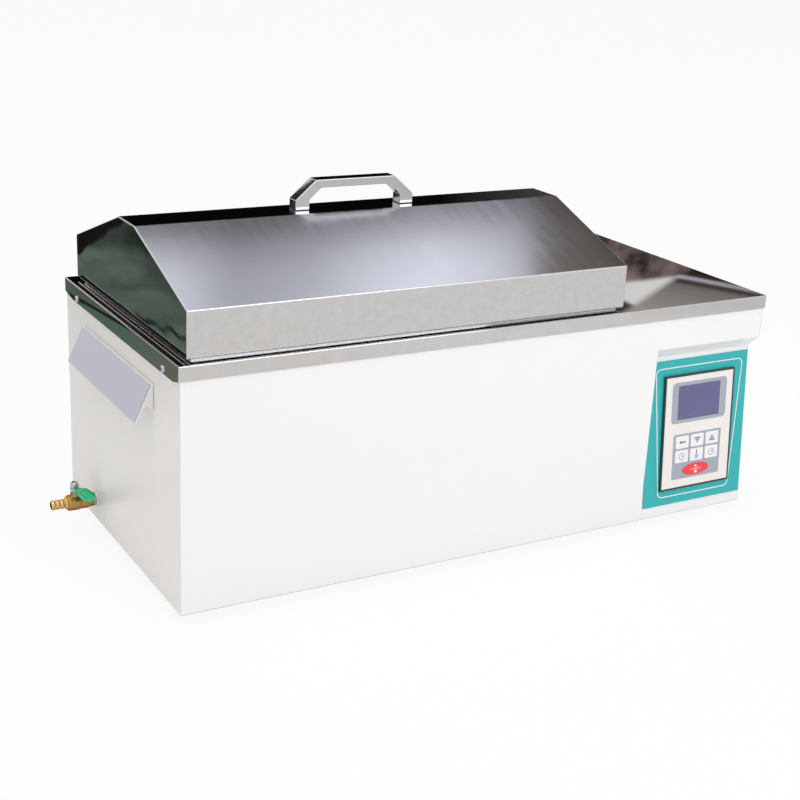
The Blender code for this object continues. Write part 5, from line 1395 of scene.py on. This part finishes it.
def lawn_paint(tree):
    """Olive path, a dark kerb, green ground in patches of light and shade, and black beyond it."""
    patches = patches_of(tree, 4.0, 2.0)
    near = mixed(tree, patches, (0.058, 0.092, 0.075, 1.0), (0.20, 0.25, 0.205, 1.0))
    far = mixed(tree, patches, (0.018, 0.028, 0.024, 1.0), (0.072, 0.090, 0.076, 1.0))
    leaf = mixed(tree, along(tree, "X", -0.75, -0.88), near, far)
    path = ramp(tree, along(tree, "Y", 0.55, 0.85), [(0.0, OLIVE), (1.0, MOSS)])
    edge = along(tree, "X", -0.867, -0.887, "Y", -0.22)
    kerb = ramp(tree, edge, shades(NEUTRAL, (0.0, 0.0), (0.15, 1.0), (0.85, 1.0), (1.0, 0.0)))
    ground = mixed(tree, kerb, mixed(tree, edge, path, leaf), grey(0.012, LEAF))
    return mixed(tree, along(tree, "Y", 0.378, 0.394, "X", 1.343), ground, grey(0.012, EARTH))


def dark_paint(tree):
    """Near black, greyer at the right end."""
    stops = shades(NEUTRAL, (0.0, 0.003), (0.75, 0.003), (1.0, 0.07))
    return ramp(tree, along(tree, "X", 0.8, 3.9), stops)


def shade_paint(tree):
    """Dark, in patches."""
    return mixed(tree, patches_of(tree, 2.0), grey(0.004), grey(0.05, EARTH))


def brown_paint(tree):
    """Brown patches at the left, a dark bank with a pale wall on it at the right, open light over both."""
    brown = mixed(tree, patches_of(tree, 20.0), (0.035, 0.025, 0.026, 1.0), (0.33, 0.235, 0.235, 1.0))
    beside_lid = mixed(tree, along(tree, "Z", 0.466, 0.473), brown, grey(0.90))
    beside_lid = mixed(tree, along(tree, "Z", 0.172, 0.178, "X", -0.447), beside_lid, grey(0.05, EARTH))
    stops = shades(EARTH, (0.00, 0.02), (0.33, 0.02))
    stops += shades(LILAC, (0.35, 0.50), (0.39, 0.50))
    stops += shades(EARTH, (0.41, 0.04), (0.455, 0.05), (0.50, 0.20), (0.66, 0.26), (1.00, 0.38))
    bank = ramp(tree, along(tree, "Z", 0.220, 0.340, "X", -0.24), stops)
    return mixed(tree, along(tree, "X", 1.820, 1.852, "Z", 2.1), beside_lid, bank)


def front_paint(tree):
    """Pale floor in front, warmer at the left and a little dimmer at the right."""
    stops = [(0.0, (1.0, 0.965, 0.945, 1.0))]
    stops += shades(NEUTRAL, (0.35, 1.0), (0.7, 0.98), (1.0, 0.86))
    return ramp(tree, along(tree, "X", 0.1, 1.1), stops)


def light_lamp(name, at, aim, size, power, colour):
    """A square lamp that points at its aim."""
    data = bpy.data.lights.new(name, "AREA")
    data.shape = "SQUARE"
    data.size = size
    data.energy = power
    data.color = colour
    lamp = placed(name, data)
    lamp.location = at
    lamp.rotation_euler = (Vector(aim) - Vector(at)).to_track_quat("-Z", "Y").to_euler()


CAMERA_AT = Vector((-0.85286, -1.43652, 0.72868))
CAMERA_AZIMUTH = radians(-30.468)
CAMERA_ELEVATION = radians(19.3856)
CAMERA_ROLL = radians(2.8083)
CAMERA_LENS = 65.335
CAMERA_SENSOR = 36.0


def set_camera():
    """The photograph's viewpoint, turned by its azimuth, elevation and roll."""
    flat = cos(CAMERA_ELEVATION)
    back = Vector((sin(CAMERA_AZIMUTH) * flat, -cos(CAMERA_AZIMUTH) * flat, sin(CAMERA_ELEVATION)))
    level = Vector((0.0, 0.0, 1.0)).cross(back).normalized()
    upright = back.cross(level)
    right = cos(CAMERA_ROLL) * level + sin(CAMERA_ROLL) * upright
    up = cos(CAMERA_ROLL) * upright - sin(CAMERA_ROLL) * level
    data = bpy.data.cameras.new("camera")
    data.lens = CAMERA_LENS
    data.sensor_width = CAMERA_SENSOR
    camera = placed("camera", data)
    turn = Matrix((right, up, back)).transposed()
    camera.matrix_world = Matrix.Translation(CAMERA_AT) @ turn.to_4x4()
    bpy.context.scene.camera = camera


# Cards by their middle, width and height, turn, paint and, where it isn't 1, strength
CARDS = {
    "ceiling_card": ((0.5, 0.55, 1.2), (1.8, 0.9), pi, ceiling_paint, 1.45),
    "lawn_card": ((-1.6, 1.5, 0.002), (2.0, 2.0), 0.0, lawn_paint),
    "dark_card": ((2.35, 5.0, 2.7), (3.1, 3.2), pi / 2, dark_paint),
    "shade_card": ((-1.3, 5.0, 2.95), (0.95, 0.85), pi / 2, shade_paint),
    "low_shade_card": ((-2.1, 5.0, 1.85), (1.3, 1.15), pi / 2, shade_paint),
    "brown_card": ((1.08, 0.5, 0.4575), (1.04, 0.205), pi / 2, brown_paint),
    "front_card": ((0.6, -1.35, 0.002), (1.4, 1.5), 0.0, front_paint),
}

light_the_room()
lay_floor()
for name, card in CARDS.items():
    hang_card(name, *card)
light_lamp("front_lamp", (0.7, -2.8, 1.9), (0.0, 0.0, 0.15), size=2.2, power=37.5, colour=COOL)
light_lamp("top_lamp", (-0.6, -0.4, 3.2), (0.0, 0.0, 0.2), size=2.4, power=32.0, colour=SUN)
set_camera()
bpy.context.scene.view_settings.view_transform = "Standard"
